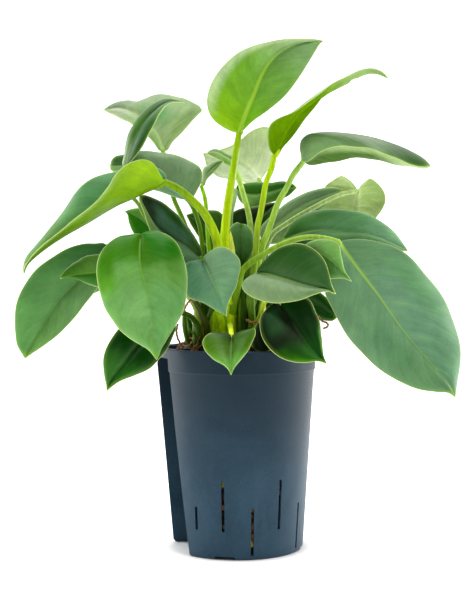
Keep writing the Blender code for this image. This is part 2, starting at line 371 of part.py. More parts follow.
# ---------------------------------------------------------------- keeping stalks apart
def stalk_lines(count):
    """Each stalk's centre line and radii. Where stalks or stems would touch, they give way, mostly towards or away from the eye, in small repeated steps."""
    lines, radii, owners, free = [], [], [], []
    for k, row in enumerate(LEAVES):
        line = place(smooth(row[8], count))
        lines.append(line)
        f = np.linspace(0, 1, count)
        radii.append(row[9][0] + (row[9][1] - row[9][0]) * f**1.2)
        owners.append(np.full(count, k))
        free.append(np.clip((f - 0.06) / 0.25, 0, 1))
    fixed_lines, fixed_radii = [], []
    for k, (_, points, low, high) in enumerate(STEMS):
        line = place(smooth(points, 24))
        fixed_lines.append(line)
        fixed_radii.append(np.linspace(low, high, 24))
    bud = place(smooth(NEW_LEAF, 10))
    fixed_lines.append(bud)
    fixed_radii.append(np.linspace(3.2, 0.8, 10))
    for _, points, radius in ROOTS:
        line = place(smooth(points, 10))
        fixed_lines.append(line)
        fixed_radii.append(np.full(10, radius))
    still = np.vstack(fixed_lines)
    still_r = np.concatenate(fixed_radii)
    p = np.vstack(lines)
    r = np.concatenate(radii)
    who = np.concatenate(owners)
    loose = np.concatenate(free)[:, None]
    bias = np.array([0.35, 1.0, 0.15])
    near = None
    for step in range(260):
        if step % 20 == 0:
            d = np.linalg.norm(p[:, None] - p[None], axis=2)
            near = np.argwhere((d < r[:, None] + r[None] + 9) & (who[:, None] < who[None]))
        a, b = near[:, 0], near[:, 1]
        d = p[a] - p[b]
        size = np.linalg.norm(d, axis=1) + 1e-9
        deep = np.clip(r[a] + r[b] + 0.9 - size, 0, None)
        push = d / size[:, None] * (deep * 0.5)[:, None]
        move = np.zeros_like(p)
        np.add.at(move, a, push)
        np.add.at(move, b, -push)
        d = p[:, None] - still[None]
        size = np.linalg.norm(d, axis=2) + 1e-9
        deep = np.clip(r[:, None] + still_r[None] + 0.9 - size, 0, None)
        move += (d / size[..., None] * (deep * 0.5)[..., None]).sum(axis=1)
        move = np.clip(move, -0.8, 0.8) * bias * loose
        shaped = move.reshape(len(LEAVES), count, 3)
        for _ in range(3):
            even = shaped.copy()
            even[:, 1:-1] = (shaped[:, :-2] + 2 * shaped[:, 1:-1] + shaped[:, 2:]) / 4
            even[:, -1] = (shaped[:, -2] + shaped[:, -1]) / 2
            shaped = even
        p = p + shaped.reshape(-1, 3) * 1.6 * loose
    return p.reshape(len(LEAVES), count, 3), np.stack(radii)


# ---------------------------------------------------------------- Blender helpers
def wipe():
    for ob in list(bpy.data.objects):
        bpy.data.objects.remove(ob, do_unlink=True)


def collection(name):
    made = bpy.data.collections.new(name)
    bpy.context.scene.collection.children.link(made)
    return made


def material(name, colour, rough, metallic=0.0):
    made = bpy.data.materials.new(name)
    made.use_nodes = True
    shader = made.node_tree.nodes["Principled BSDF"]
    shader.inputs["Base Color"].default_value = (*colour, 1)
    shader.inputs["Roughness"].default_value = rough
    shader.inputs["Metallic"].default_value = metallic
    return made


def from_bmesh(name, bm, home, mat=None):
    mesh = bpy.data.meshes.new(name)
    bmesh.ops.recalc_face_normals(bm, faces=bm.faces[:])
    bm.to_mesh(mesh)
    bm.free()
    ob = bpy.data.objects.new(name, mesh)
    home.objects.link(ob)
    if mat:
        mesh.materials.append(mat)
    return ob


def boolean(ob, cutter, how):
    mod = ob.modifiers.new(how.lower() + "_" + cutter.name, "BOOLEAN")
    mod.operation = how
    mod.solver = "EXACT"
    mod.object = cutter


def cutter_look(ob):
    ob.hide_render = True
    ob.display_type = "WIRE"


def tube(name, line, radii, home, sides, mat=None):
    """A stalk or root: a poly curve with a round bevel, tapering by its points' radii, made a mesh with welded caps."""
    curve = bpy.data.curves.new(name, "CURVE")
    curve.dimensions = "3D"
    curve.bevel_depth = 1.0
    curve.bevel_resolution = max((sides - 4) // 2, 0)
    curve.use_fill_caps = True
    spline = curve.splines.new("POLY")
    spline.points.add(len(line) - 1)
    for point, co, radius in zip(spline.points, line, radii):
        point.co = (*(co * MM), 1)
        point.radius = radius * MM
    guide = bpy.data.objects.new(name + "_curve", curve)
    home.objects.link(guide)
    bpy.context.view_layer.update()
    mesh = bpy.data.meshes.new_from_object(guide.evaluated_get(bpy.context.evaluated_depsgraph_get()))
    bm = bmesh.new()
    bm.from_mesh(mesh)
    bmesh.ops.remove_doubles(bm, verts=bm.verts[:], dist=0.00001)
    bpy.data.objects.remove(guide, do_unlink=True)
    ob = from_bmesh(name, bm, home, mat)
    ob.data.shade_smooth()
    return ob


def lathe(name, profiles, home, steps):
    """Turned solids: profiles at +X, each listed from the top of its outer side down, turned by a Screw modifier. A profile that ends where it starts makes a ring."""
    bm = bmesh.new()
    for profile in profiles:
        ring = profile[0] == profile[-1]
        verts = [bm.verts.new((r * MM, 0, z * MM)) for r, z in (profile[:-1] if ring else profile)]
        for a, b in zip(verts, verts[1:]):
            bm.edges.new((a, b))
        if ring:
            bm.edges.new((verts[-1], verts[0]))
    mesh = bpy.data.meshes.new(name)
    bm.to_mesh(mesh)
    bm.free()
    ob = bpy.data.objects.new(name, mesh)
    home.objects.link(ob)
    mod = ob.modifiers.new("turn", "SCREW")
    mod.steps = mod.render_steps = steps
    mod.use_merge_vertices = True
    mod.merge_threshold = 0.00001
    return ob


def loft(name, rings, home):
    """A closed solid between two or more outlines with the same number of points."""
    bm = bmesh.new()
    loops = [[bm.verts.new(co * MM) for co in ring] for ring in rings]
    for low, high in zip(loops, loops[1:]):
        for i in range(len(low)):
            j = (i + 1) % len(low)
            bm.faces.new((low[i], low[j], high[j], high[i]))
    bm.faces.new(list(reversed(loops[0])))
    bm.faces.new(loops[-1])
    return from_bmesh(name, bm, home)


# ---------------------------------------------------------------- the pot
def channel_outline(z, grow):
    """The gauge channel in plan at height z, with round inner corners: across from the rear to the front, in from the wall."""
    f = z / POT_HEIGHT
    rear, front = -26.4 - 0.6 * f - grow, 34.0 - 12.0 * f + grow
    inner, outer = 40.0 + 9.0 * f - grow, 95.0
    corner = 6.0
    points = [(outer, rear), (outer, front)]
    for turn in range(5):
        a = math.radians(turn * 22.5)
        points.append((inner + corner - corner * math.sin(a), front - corner + corner * math.cos(a)))
    for turn in range(5):
        a = math.radians(turn * 22.5)
        points.append((inner + corner - corner * math.cos(a), rear + corner - corner * math.sin(a)))
    d = np.array([math.cos(CHANNEL_AZ), math.sin(CHANNEL_AZ), 0])
    t = np.array([-math.sin(CHANNEL_AZ), math.cos(CHANNEL_AZ), 0])
    return np.array([d * r + t * across + np.array([0, 0, z]) for r, across in points])


def channel(name, low, high, grow, home):
    return loft(name, [channel_outline(z, grow) for z in (low, high)], home)


def body_r(z):
    return FOOT_R + (BODY_TOP_R - FOOT_R) * z / BAND_LOW


def build_pot(home, cut, mat):
    pot = lathe(
        "pot",
        [[(0, POT_HEIGHT), (RIM_R - 1.0, POT_HEIGHT), (RIM_R, POT_HEIGHT - 1.0), (RIM_R - 0.4, BAND_LOW + 0.6), (RIM_R - 1.0, BAND_LOW), (body_r(BAND_LOW - 1), BAND_LOW - 1), (FOOT_R + 0.1, 1.2), (FOOT_R - 1.2, 0), (0, 0)]],
        home,
        44,
    )
    home_mat = pot.data.materials
    home_mat.append(mat)
    # the channel's rear wall stands proud of the body and leans out towards the rim
    d = np.array([math.cos(CHANNEL_AZ), math.sin(CHANNEL_AZ), 0])
    t = np.array([-math.sin(CHANNEL_AZ), math.cos(CHANNEL_AZ), 0])
    rings = []
    for z, out in FLANGE:
        rear = -26.4 - 0.6 * z / POT_HEIGHT
        corners = [(48.0, rear - 2.4), (out, rear - 2.4), (out, rear + 5.0), (48.0, rear + 5.0)]
        rings.append([d * r + t * across + np.array([0, 0, z]) for r, across in corners])
    flange = loft("channel_flange", rings, cut)
    cutter_look(flange)
    boolean(pot, flange, "UNION")
    outside = channel("channel_cut", -5, RING_LOW, 0, cut)
    cutter_look(outside)
    boolean(pot, outside, "DIFFERENCE")

    hollow = lathe(
        "hollow",
        [
            [(0, POT_HEIGHT + 6), (RIM_R - 3.2, POT_HEIGHT + 6), (RIM_R - 3.4, BAND_LOW + 1), (body_r(BAND_LOW - 1) - WALL, BAND_LOW - 4), (body_r(FLOOR) - WALL, FLOOR), (0, FLOOR)],
            [(0, FOOT_RECESS), (FOOT_R - 3.0, FOOT_RECESS), (FOOT_R - 3.2, -4), (0, -4)],
        ],
        cut,
        44,
    )
    wall = channel("channel_wall", -6, 205, WALL, cut)
    cutter_look(wall)
    boolean(hollow, wall, "DIFFERENCE")
    cutter_look(hollow)
    boolean(pot, hollow, "DIFFERENCE")

    # the channel's mouth, inside the top ring
    mouth = lathe("channel_mouth", [[(0, POT_HEIGHT + 8), (RIM_R - 3.6, POT_HEIGHT + 8), (RIM_R - 3.6, RING_LOW - 0.7), (0, RING_LOW - 0.7)]], cut, 44)
    reach = channel("channel_reach", -7, 215, -0.05, cut)
    cutter_look(reach)
    boolean(mouth, reach, "INTERSECT")
    cutter_look(mouth)
    boolean(pot, mouth, "DIFFERENCE")

    # all slots and foot notches in one cutter
    bm = bmesh.new()
    for k in range(15):
        az = SLOT_FIRST + k * SLOT_STEP
        if 248 < az % 360 < 323:
            continue
        high = k % 2 == 1
        low_z, top_z = (26.0, 72.0) if high else (4.0, 47.0)
        if k == 0:
            low_z = 26.0
        a = math.radians(az - 90)
        out = Vector((math.cos(a), math.sin(a), 0))
        side = Vector((-out.y, out.x, 0))
        made = bmesh.ops.create_cube(bm, size=1.0)["verts"]
        for v in made:
            co = v.co
            r = 64.0 + co.x * 18.0
            z = low_z + (co.z + 0.5) * (top_z - low_z)
            v.co = (out * r + side * (co.y * SLOT_WIDTH) + Vector((0, 0, z))) * MM
    for k in range(4):
        a = math.radians(NOTCH_AT - 90 + 90 * k)
        if k == 3:
            continue  # the channel is there
        out = Vector((math.cos(a), math.sin(a), 0))
        side = Vector((-out.y, out.x, 0))
        for v in bmesh.ops.create_cube(bm, size=1.0)["verts"]:
            co = v.co
            v.co = (out * (62.0 + co.x * 14.0) + side * (co.y * NOTCH_WIDTH) + Vector((0, 0, co.z * 2 * (NOTCH_HEIGHT - 0.2)))) * MM
    slots = from_bmesh("slots_and_notches", bm, cut)
    cutter_look(slots)
    boolean(pot, slots, "DIFFERENCE")
    return pot


def build_substrate(home, cut, mat, stems):
    top = SOIL_TOP
    soil = lathe(
        "substrate",
        [[(0, top + 2.0), (30, top + 1.6), (58, top + 0.2), (RIM_R - 5.4, top - 3.0), (RIM_R - 3.4 - GAP - 0.4, BAND_LOW + 1), (body_r(BAND_LOW - 5) - WALL - GAP - 0.2, BAND_LOW - 5), (body_r(FLOOR) - WALL - GAP, FLOOR + GAP), (0, FLOOR + GAP)]],
        home,
        48,
    )
    soil.data.materials.append(mat)
    wall = channel("soil_channel", -8, 210, WALL + GAP + 0.1, cut)
    cutter_look(wall)
    boolean(soil, wall, "DIFFERENCE")
    for k, (name, points, low, high) in enumerate(STEMS):
        line = place(smooth(points, 9))
        foot = line[0]
        bm = bmesh.new()
        bmesh.ops.create_cone(bm, cap_ends=True, segments=20, radius1=(low + GAP + 1.6) * MM, radius2=(low + GAP + 1.6) * MM, depth=0.060)
        for v in bm.verts:
            v.co.x += foot[0] * MM
            v.co.y += foot[1] * MM
            v.co.z += (foot[2] - 2.0) * MM + 0.030
        hole = from_bmesh("hole_" + name, bm, cut)
        cutter_look(hole)
        boolean(soil, hole, "DIFFERENCE")
    return soil


# ---------------------------------------------------------------- leaves
def blade_solid(name, row, home):
    """The blade as a thin closed shell, from its grid of stations: upper and under sides, joined along the margin, with single points at the stalk and the tip."""
    grid = blade(row, BLADE_STATIONS, BLADE_ACROSS)
    n = normals(grid, row[1])
    bm = bmesh.new()
    rows, cols = grid.shape[:2]
    up = np.full((rows, cols), None, object)
    down = up.copy()
    half = BLADE_T / 2
    for i in range(rows):
        for j in range(cols):
            if i in (0, rows - 1):
                if j:
                    up[i, j], down[i, j] = up[i, 0], down[i, 0]
                    continue
                at, lift = grid[i, cols // 2], n[i, cols // 2]
            else:
                at, lift = grid[i, j], n[i, j]
            thin = half * (0.62 if j in (0, cols - 1) or i in (0, rows - 1) else 1)
            up[i, j] = bm.verts.new((at + lift * thin) * MM)
            down[i, j] = bm.verts.new((at - lift * thin) * MM)

    def face(*verts):
        single = list(dict.fromkeys(verts))
        if len(single) > 2:
            bm.faces.new(single)

    for i in range(rows - 1):
        for j in range(cols - 1):
            face(up[i, j], up[i + 1, j], up[i + 1, j + 1], up[i, j + 1])
            face(down[i, j], down[i, j + 1], down[i + 1, j + 1], down[i + 1, j])
        for j, order in ((0, 1), (cols - 1, -1)):
            ring = (up[i, j], down[i, j], down[i + 1, j], up[i + 1, j])
            face(*(ring if order > 0 else reversed(ring)))
    bmesh.ops.triangulate(bm, faces=bm.faces[:])
    return from_bmesh(name, bm, home)


def build_leaf(row, line, radii, home, cut, mat):
    name = row[0]
    ob = blade_solid(name, row, home)
    ob.data.materials.append(mat)
    # the stalk runs on into the blade along its midrib, so that the two fuse
    grid = blade(row, 61, 1)
    tip = grid[[3, 1], 1]
    whole = np.vstack([tip, line])
    sizes = np.concatenate([[0.9, min(1.3, radii[0])], radii])
    stalk = tube(name + "_stalk", whole, sizes, cut, STALK_SIDES)
    cutter_look(stalk)
    boolean(ob, stalk, "UNION")
    return ob


def build():
    wipe()
    home = collection("potted_philodendron")
    cut = collection("cutters")

    pot = build_pot(home, cut, material("slate_plastic", (0.045, 0.075, 0.115), 0.5))
    build_substrate(home, cut, material("clay_substrate", (0.16, 0.075, 0.035), 0.95), STEMS)

    stem_mats = {
        "stem_main": material("stem_lime", (0.36, 0.55, 0.05), 0.4),
        "stem_right": material("stem_green", (0.08, 0.22, 0.03), 0.45),
        "stem_left": material("stem_olive", (0.16, 0.30, 0.04), 0.45),
    }
    for name, points, low, high in STEMS:
        line = place(smooth(points, 9))
        tube(name, line, np.linspace(low, high, 9), home, 12, stem_mats[name])

    bud = place(smooth(NEW_LEAF, 7))
    tube("new_leaf", bud, np.linspace(3.2, 0.8, 7), home, 8, material("new_leaf_lime", (0.45, 0.65, 0.06), 0.35))

    for name, points, radius in ROOTS:
        tube(name, place(smooth(points, 9)), np.full(9, radius), home, 6, material(name + "_brown", (0.20, 0.09, 0.03), 0.8))

    lines, radii = stalk_lines(36)
    keep = np.round(np.linspace(0, 35, STALK_RINGS)).astype(int)
    for k, row in enumerate(LEAVES):
        bright = row[0] in ("leaf_top", "leaf_upper_right", "leaf_left_lime", "leaf_right_pale", "leaf_back_pale")
        colour = (0.22, 0.42, 0.03) if bright else (0.03, 0.16, 0.02)
        build_leaf(row, lines[k][keep], radii[k][keep], home, cut, material(row[0] + "_green", colour, 0.32))


build()
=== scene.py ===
"""Potted philodendron: looks. The plant is drawn on the same board, with the same table, as the CAD model's frame; every leaf, stalk, stem, root, the clay fill and the pot get fine meshes and procedural materials here."""

import json
import math

import bmesh
import bpy
import numpy as np
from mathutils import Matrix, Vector

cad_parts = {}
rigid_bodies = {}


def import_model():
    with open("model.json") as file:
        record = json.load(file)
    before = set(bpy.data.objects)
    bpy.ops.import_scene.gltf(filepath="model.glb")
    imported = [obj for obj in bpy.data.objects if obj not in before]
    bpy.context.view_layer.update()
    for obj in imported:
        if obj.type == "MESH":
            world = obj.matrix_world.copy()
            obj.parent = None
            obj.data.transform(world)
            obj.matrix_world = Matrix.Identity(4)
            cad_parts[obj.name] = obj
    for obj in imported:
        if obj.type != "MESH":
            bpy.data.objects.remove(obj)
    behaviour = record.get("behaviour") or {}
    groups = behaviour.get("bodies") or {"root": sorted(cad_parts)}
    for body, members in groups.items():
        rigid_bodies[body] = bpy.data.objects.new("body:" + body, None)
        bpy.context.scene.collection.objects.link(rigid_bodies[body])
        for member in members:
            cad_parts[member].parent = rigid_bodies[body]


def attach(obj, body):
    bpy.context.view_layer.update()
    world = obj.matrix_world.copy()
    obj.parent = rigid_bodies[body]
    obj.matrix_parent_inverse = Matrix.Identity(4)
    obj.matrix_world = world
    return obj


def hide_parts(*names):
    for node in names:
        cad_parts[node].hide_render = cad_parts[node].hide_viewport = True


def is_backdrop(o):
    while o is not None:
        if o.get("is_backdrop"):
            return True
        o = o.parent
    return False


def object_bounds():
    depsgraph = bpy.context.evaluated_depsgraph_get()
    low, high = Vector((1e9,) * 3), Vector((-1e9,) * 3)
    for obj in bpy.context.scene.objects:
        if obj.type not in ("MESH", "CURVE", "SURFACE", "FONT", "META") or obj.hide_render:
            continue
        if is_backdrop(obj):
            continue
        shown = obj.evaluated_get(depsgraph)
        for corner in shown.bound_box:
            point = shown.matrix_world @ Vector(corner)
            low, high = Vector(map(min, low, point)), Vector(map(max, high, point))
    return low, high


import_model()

# ---------------------------------------------------------------- dimensions
MM = 0.001
EYE_DIST, EYE_HEIGHT = 1200.0, 272.0
BOARD, AXIS_U, FOOT_V = 1.04, 237.5, 545.0

POT_HEIGHT = 191.0
RIM_R = 75.0  # outside of the rim band
BAND_LOW = 170.0  # lower edge of the rim band
RING_LOW = 182.0  # the top ring bridges the gauge channel above this
BODY_TOP_R, FOOT_R = 73.6, 62.5
WALL = 2.0
FLOOR = 6.0
FOOT_RECESS = 3.0
CHANNEL_AZ = math.radians(192.0)  # middle of the gauge channel, left and a little forward
FLANGE = [(0.8, 55.6), (2.6, 57.8), (150, 71.4), (174, 73.7), (181, 71.8)]  # height, reach from the axis of the channel's rear wall
SLOT_WIDTH, SLOT_STEP = 2.8, 24.0
SLOT_FIRST = -35.7  # degrees from the front towards +X
NOTCH_WIDTH, NOTCH_HEIGHT, NOTCH_AT = 18.7, 3.0, -10.7
GAP = 0.3
SOIL_TOP = 178.0

BLADE_T = 1.2  # leaf thickness
BLADE_STATIONS, BLADE_ACROSS = 9, 2  # stations along the midrib, strips on each half
STALK_SIDES, STALK_RINGS = 6, 8

# name, side that faces the front (1 upper, -1 under), midrib, one margin, the other margin,
# depth of the midrib at stalk, middle and tip, extra depth of each margin, bulge of each half, stalk points (u, v, y), stalk radius at blade and base
LEAVES = [
    ("leaf_top", 1,
     [(240, 133), (247, 112), (254, 95), (262, 75), (272, 60), (285, 49), (303, 42.5), (324, 41)],
     [(237, 133), (226, 129), (212, 118), (207, 104), (209, 90), (218, 72), (234, 55), (252, 46), (272, 41), (290, 39), (315, 39)],
     [(243, 131), (252, 122), (270, 109), (285, 96), (296, 82), (307, 65), (315, 52), (320, 44)],
     (-8, -6, -14), (-7, -9), (3, 3),
     [(238.8, 134, -8), (232, 175, -8), (227, 210, -9), (224.5, 245, -10), (226, 262, -9)], (2.8, 4.8)),
    ("leaf_upper_right", -1,
     [(275, 156), (281, 140), (291, 122), (303, 108.5), (320, 96), (340, 84.5), (358, 75), (372, 71.3), (388.6, 78)],
     [(270, 150), (268, 136.5), (270.6, 125), (278, 118.7), (296, 109.7), (311, 99.5), (329, 86.8), (346, 78), (362, 70), (373, 68.7), (381.6, 71.5)],
     [(278, 156), (282, 149), (291, 138), (306, 117.4), (321.6, 99.5), (329, 91), (349.7, 81), (367.6, 72.8), (380, 74)],
     (-5, -5, -15), (-22, 24), (2, 2),
     [(274.5, 155, -5), (271, 170, -5), (266, 182.5, -6), (263, 200, -7), (260, 216, -8), (257.5, 227, -8), (256.5, 250, -8), (253, 278, -6), (249, 300, -7)], (2.6, 3.4)),
    ("leaf_right_upper", 1,
     [(303, 161), (299.5, 150), (301, 140), (308, 134), (322, 132), (345, 133), (370, 136.5), (392, 143), (410, 150.5), (424, 159), (431, 166.5)],
     [(307.6, 161.4), (319, 153), (329, 148), (342, 145.5), (355, 146.7), (374, 151.8), (393, 157.6), (411, 164.3), (424, 167.3)],
     [(309, 164.8), (329, 162), (350, 160), (367.6, 159.2), (393, 162.7), (411, 166.4), (425, 168.6)],
     (0, -5, -10), (-36, 36), (3, 3),
     [(303, 162, 0), (293, 175, 0), (287, 187, -1), (278, 203, -2), (272.7, 218, -3), (266.4, 236, -4), (261, 250, -5), (255, 278, 0), (250, 300, 1)], (2.6, 3.6)),
    ("leaf_left_lime", 1,
     [(164.5, 182), (155.4, 186), (143, 191.5), (132, 197), (119, 203), (107, 210), (87.5, 222), (68, 233), (51, 244), (36.7, 255), (27, 265), (23.6, 274.5)],
     [(162, 177), (160, 174), (155, 165), (149, 160.6), (141, 159.4), (131, 162), (122.7, 166.7), (115.4, 175), (110.6, 185), (105.7, 192), (99.7, 199), (85, 211.5), (68, 223.6), (52.4, 235.7), (39, 247.8), (29.4, 258.7), (24.5, 268.4)],
     [(166, 176), (158, 168), (140, 167), (125, 170), (115.4, 172.7), (104.5, 174.5), (93.6, 178), (82.7, 185), (73, 194.5), (64.5, 206.6), (56, 220), (45, 234.5), (34, 248), (25.8, 258.7), (23.3, 268)],
     (-26, -32, -32), (-28, 18), (2, 3),
     [(164.5, 182, -26), (180, 190, -25), (195, 203, -24), (204, 213, -22), (211, 225, -20), (217, 240, -18), (219.5, 252, -17), (221, 272, -14)], (3.2, 5.2)),
    ("leaf_left_blue", 1,
     [(187, 199), (170, 182), (150, 170), (130, 165), (110, 166)],
     [(193, 197), (198.4, 188.4), (201.7, 181), (201.7, 172), (198.4, 166.7), (189.7, 161.3), (179, 156.4), (168, 153), (159.4, 151.3), (146, 150.5), (138.8, 151), (122.5, 155), (116, 156.4), (111.7, 160)],
     [(185.4, 199.8), (174.6, 197), (160.5, 192), (150.7, 189.5), (138, 184), (125, 178), (115, 172.7), (110.6, 170)],
     (10, 28, 48), (8, -4), (3, 3),
     [(187.6, 200, 10), (190, 203, 9), (194, 210, 8), (199.7, 227, 5), (202.7, 255, 2), (204, 290, 0), (206, 318, 4)], (2.0, 2.6)),
    ("leaf_left_narrow", 1,
     [(125, 168), (130, 150), (138, 132), (148, 118), (160, 108), (172, 102.5), (185, 103.3)],
     [(122.5, 164.6), (124.7, 154.8), (126.3, 144), (129, 133), (133.4, 123.4), (141, 113.6), (150.7, 105.5), (160.5, 100.6), (168, 99), (176.7, 100.6)],
     [(133.4, 159), (137.7, 153.7), (143, 145), (149.6, 133), (155, 123.4), (160.5, 113.6), (165.9, 106), (173.5, 102.8)],
     (0, 8, 20), (12, -14), (2, 2),
     [(125, 168, 0), (128, 182, -2), (132.4, 197, -2), (138.4, 204, 0), (142, 211.5, 2), (160, 235, 8), (182, 265, 8), (200, 296, 6), (204, 320, 2)], (1.8, 2.6)),
    ("leaf_left_upper", 1,
     [(163, 151), (157, 136), (148, 124), (135, 114), (120, 108.5), (103.6, 110.4)],
     [(167, 150.5), (172.4, 141.8), (182, 132), (192, 122), (200.6, 113.6), (202.7, 110.4), (200.6, 106), (193, 102), (185.4, 98.4), (176.7, 96.8), (166, 96.3), (155, 97), (146.4, 99.5), (140, 102), (135.5, 101.7), (130, 100.6), (118, 102), (109.5, 106)],
     [(159.4, 150.5), (147.5, 136.4), (132, 124.4), (120.4, 119), (111.7, 114.7)],
     (52, 76, 88), (20, -5), (4, 3),
     [(163, 151, 52), (168, 175, 46), (173.5, 198, 40), (183, 220, 32), (193, 250, 22), (200, 285, 12), (203, 318, 9)], (2.2, 2.8)),
    ("leaf_left_dark", 1,
     [(200, 258), (186, 246), (170, 237), (158, 228), (148, 214), (142, 202), (139.5, 196)],
     [(202.3, 253.7), (198.9, 243), (191.8, 232), (184.5, 223.6), (173.6, 211.5), (161.5, 201.5), (149, 196), (143, 195)],
     [(196, 264), (185, 268), (170, 262), (158, 248), (149.3, 229.7), (143, 211), (139, 200)],
     (-14, -20, -24), (8, -8), (3, 3),
     [(200, 258, -14), (206, 272, -14), (211, 290, -12), (213, 305, -11), (209, 320, -8)], (2.2, 3.0)),
    ("leaf_center_heart", 1,
     [(203, 261), (206.5, 268), (211, 278), (217.7, 294), (223, 306), (226.8, 316.7)],
     [(201.6, 259.8), (193.6, 260.4), (186.5, 263), (184.5, 270), (185, 283), (188, 296.6), (199, 302), (209.6, 306.6), (220.4, 312.7)],
     [(204.3, 256.4), (211, 251), (220.4, 247.7), (228.4, 249), (235, 253.7), (239.8, 260.4), (240.7, 268.5), (239, 276.5), (236.4, 286), (232.4, 294), (228.4, 302), (227, 308.7)],
     (-32, -50, -60), (3, 0), (3, 3),
     [(203, 261, -32), (207, 275, -28), (212, 292, -22), (217, 305, -18)], (2.2, 3.0)),
    ("leaf_center_small", 1,
     [(241, 224), (242, 240), (242.5, 255), (241.5, 270)],
     [(237, 222.5), (233, 225), (229.7, 230), (228, 240), (230, 252), (235, 263)],
     [(245, 224.5), (251.3, 229.8), (253.9, 238), (253, 249.5), (247, 262)],
     (6, 5, 6), (1, 1), (2, 2),
     [(241, 224, 6), (243, 240, 11), (243, 258, 12), (240, 276, 8)], (1.8, 2.4)),
    ("leaf_rim_front", 1,
     [(231.5, 336), (231.3, 350), (231, 363), (231, 375)],
     [(228, 334), (222.9, 333.2), (210.6, 333.2), (203.5, 337.8), (202, 343), (205.5, 351), (212.7, 358.2), (222.9, 364.3), (228, 369.4)],
     [(235, 334.7), (243.3, 330.6), (254.5, 328), (255.5, 333.7), (250.4, 345), (243.3, 357), (235, 367.3)],
     (-76, -92, -106), (4, 4), (3, 3),
     [(231.5, 336, -76), (231, 331, -64), (230.5, 327, -48), (230, 325, -30), (229.5, 325, -17)], (2.0, 2.6)),
    ("leaf_center_right", 1,
     [(256.5, 274), (267, 274.5), (284.6, 279), (303.4, 284.5), (320.8, 288.6), (336, 294)],
     [(251, 276.5), (244.5, 280.5), (241.8, 284.5), (243.8, 291), (252.5, 297.3), (263, 301.3), (275.3, 303.3), (287.3, 302.6), (300.7, 300), (312.8, 295.3), (323.5, 292), (331.5, 292)],
     [(257, 271), (259, 267), (266, 257.8), (274, 251), (284.6, 245.7), (298, 244), (310, 247), (319.5, 253.7), (326, 263), (329.5, 273.8), (331.5, 284.5)],
     (-46, -64, -76), (-10, 0), (3, 3),
     [(256.5, 274, -46), (253, 284, -38), (252, 300, -26), (252, 318, -14)], (2.4, 3.0)),
    ("leaf_front_dark", 1,
     [(279, 303), (290, 318), (302, 335), (314, 351), (326.9, 364.2)],
     [(272, 304), (266, 309), (260.5, 317), (259.7, 326), (262, 337), (269, 348), (280, 357.5), (292.5, 362), (305, 363), (317.5, 361.5)],
     [(290, 299), (300, 297.5), (308, 299.7), (316.7, 313.8), (320.6, 323), (322, 335.6), (322, 346.6), (323.8, 357.5)],
     (-54, -74, -88), (-8, 5), (3, 3),
     [(279, 303, -54), (271, 299, -44), (264, 303, -33), (261, 314, -24), (256, 325, -14)], (2.2, 2.8)),
    ("leaf_big_right", 1,
     [(339.4, 242), (348.8, 256), (362.8, 274.7), (378.4, 295), (395.6, 320), (411, 340), (430, 362), (448.8, 384), (455, 398)],
     [(348.8, 239.5), (366, 239.6), (392.5, 246.6), (407, 256.8), (422, 271.6), (436.3, 287), (448.8, 306), (456.6, 326), (460, 346.6), (459.7, 365), (457.3, 381)],
     [(336, 246), (330, 258), (325.5, 275), (325.3, 293.4), (331.6, 307.5), (339.4, 323), (348.8, 338.8), (362.8, 354.4), (378.4, 368.4), (398.8, 381), (417.5, 388.8), (436, 392), (448.8, 393.4)],
     (-36, -36, -42), (22, -8), (5, 5),
     [(339.4, 242, -36), (323.8, 238, -34), (308, 237.2, -31), (292.5, 240.3, -28), (277, 246.6, -25), (261, 256, -20), (250, 263, -17), (243, 270, -15), (239, 282, -14)], (2.4, 3.2)),
    ("leaf_right_mid", 1,
     [(285, 240), (300, 234), (316, 230.6), (331.6, 230.5), (347, 232.5), (364.4, 233.3), (385, 240), (408, 251.3)],
     [(283, 238), (286.3, 232.5), (292.5, 223), (303.4, 215.3), (317.5, 210.3), (334.7, 208.6), (352, 209.8), (367.5, 214.5), (381.6, 222.3), (394, 232.5), (402, 242)],
     [(290, 246), (305, 250), (320, 251), (335, 248), (345.6, 244), (356.6, 240.5), (370.6, 241), (386, 245.8), (397, 250.5)],
     (6, 2, -2), (12, -5), (3, 3),
     [(285, 240, 6), (276, 252, 4), (266, 266, 2), (258, 285, 0), (252, 305, -1)], (2.2, 2.8)),
    ("leaf_right_small", 1,
     [(303, 250), (318, 253), (332, 262), (342, 272), (352, 281.7)],
     [(306.6, 244), (317.5, 239.5), (327, 238.8), (336, 242), (339.4, 246.6), (341, 257.5), (344, 268.4)],
     [(302, 258), (310, 270), (320, 277), (331.6, 279), (342.5, 278.5)],
     (-48, -55, -58), (0, 0), (2, 2),
     [(303, 250, -48), (292, 258, -38), (276, 270, -28), (262, 284, -20), (254, 300, -12)], (1.8, 2.4)),
    ("leaf_right_pale", -1,
     [(358, 191), (357, 203), (354, 220), (348, 244)],
     [(355, 188), (349, 180), (342, 175.5), (333, 180), (325, 187), (321, 197), (322, 210), (330, 228), (340, 240)],
     [(361, 188), (366, 181), (370, 178.5), (378.4, 184), (384.7, 193.4), (385.5, 201), (381.6, 210.6), (377, 217), (366, 232), (355, 242)],
     (44, 54, 46), (3, 6), (3, 3),
     [(358, 191, 44), (339.4, 195, 37), (308, 210.6, 26), (284.5, 225, 20), (272.7, 234, 16), (267, 245, 12), (262, 262, 9), (256, 285, 11), (251, 300, 12)], (2.2, 3.0)),
    ("leaf_back_right_dark", 1,
     [(262, 240), (278, 222), (298, 207), (320, 197), (343, 189.5)],
     [(260.4, 237), (260.2, 228), (266, 221), (281.6, 207.5), (297, 196.6), (314.4, 189.5), (330, 187.5)],
     [(268, 244), (284, 241), (296, 230), (310, 219), (322, 208), (335, 198)],
     (27, 37, 44), (4, -1), (2, 2),
     [(262, 240, 27), (258, 256, 24), (253, 275, 21), (248, 300, 20)], (2.0, 2.6)),
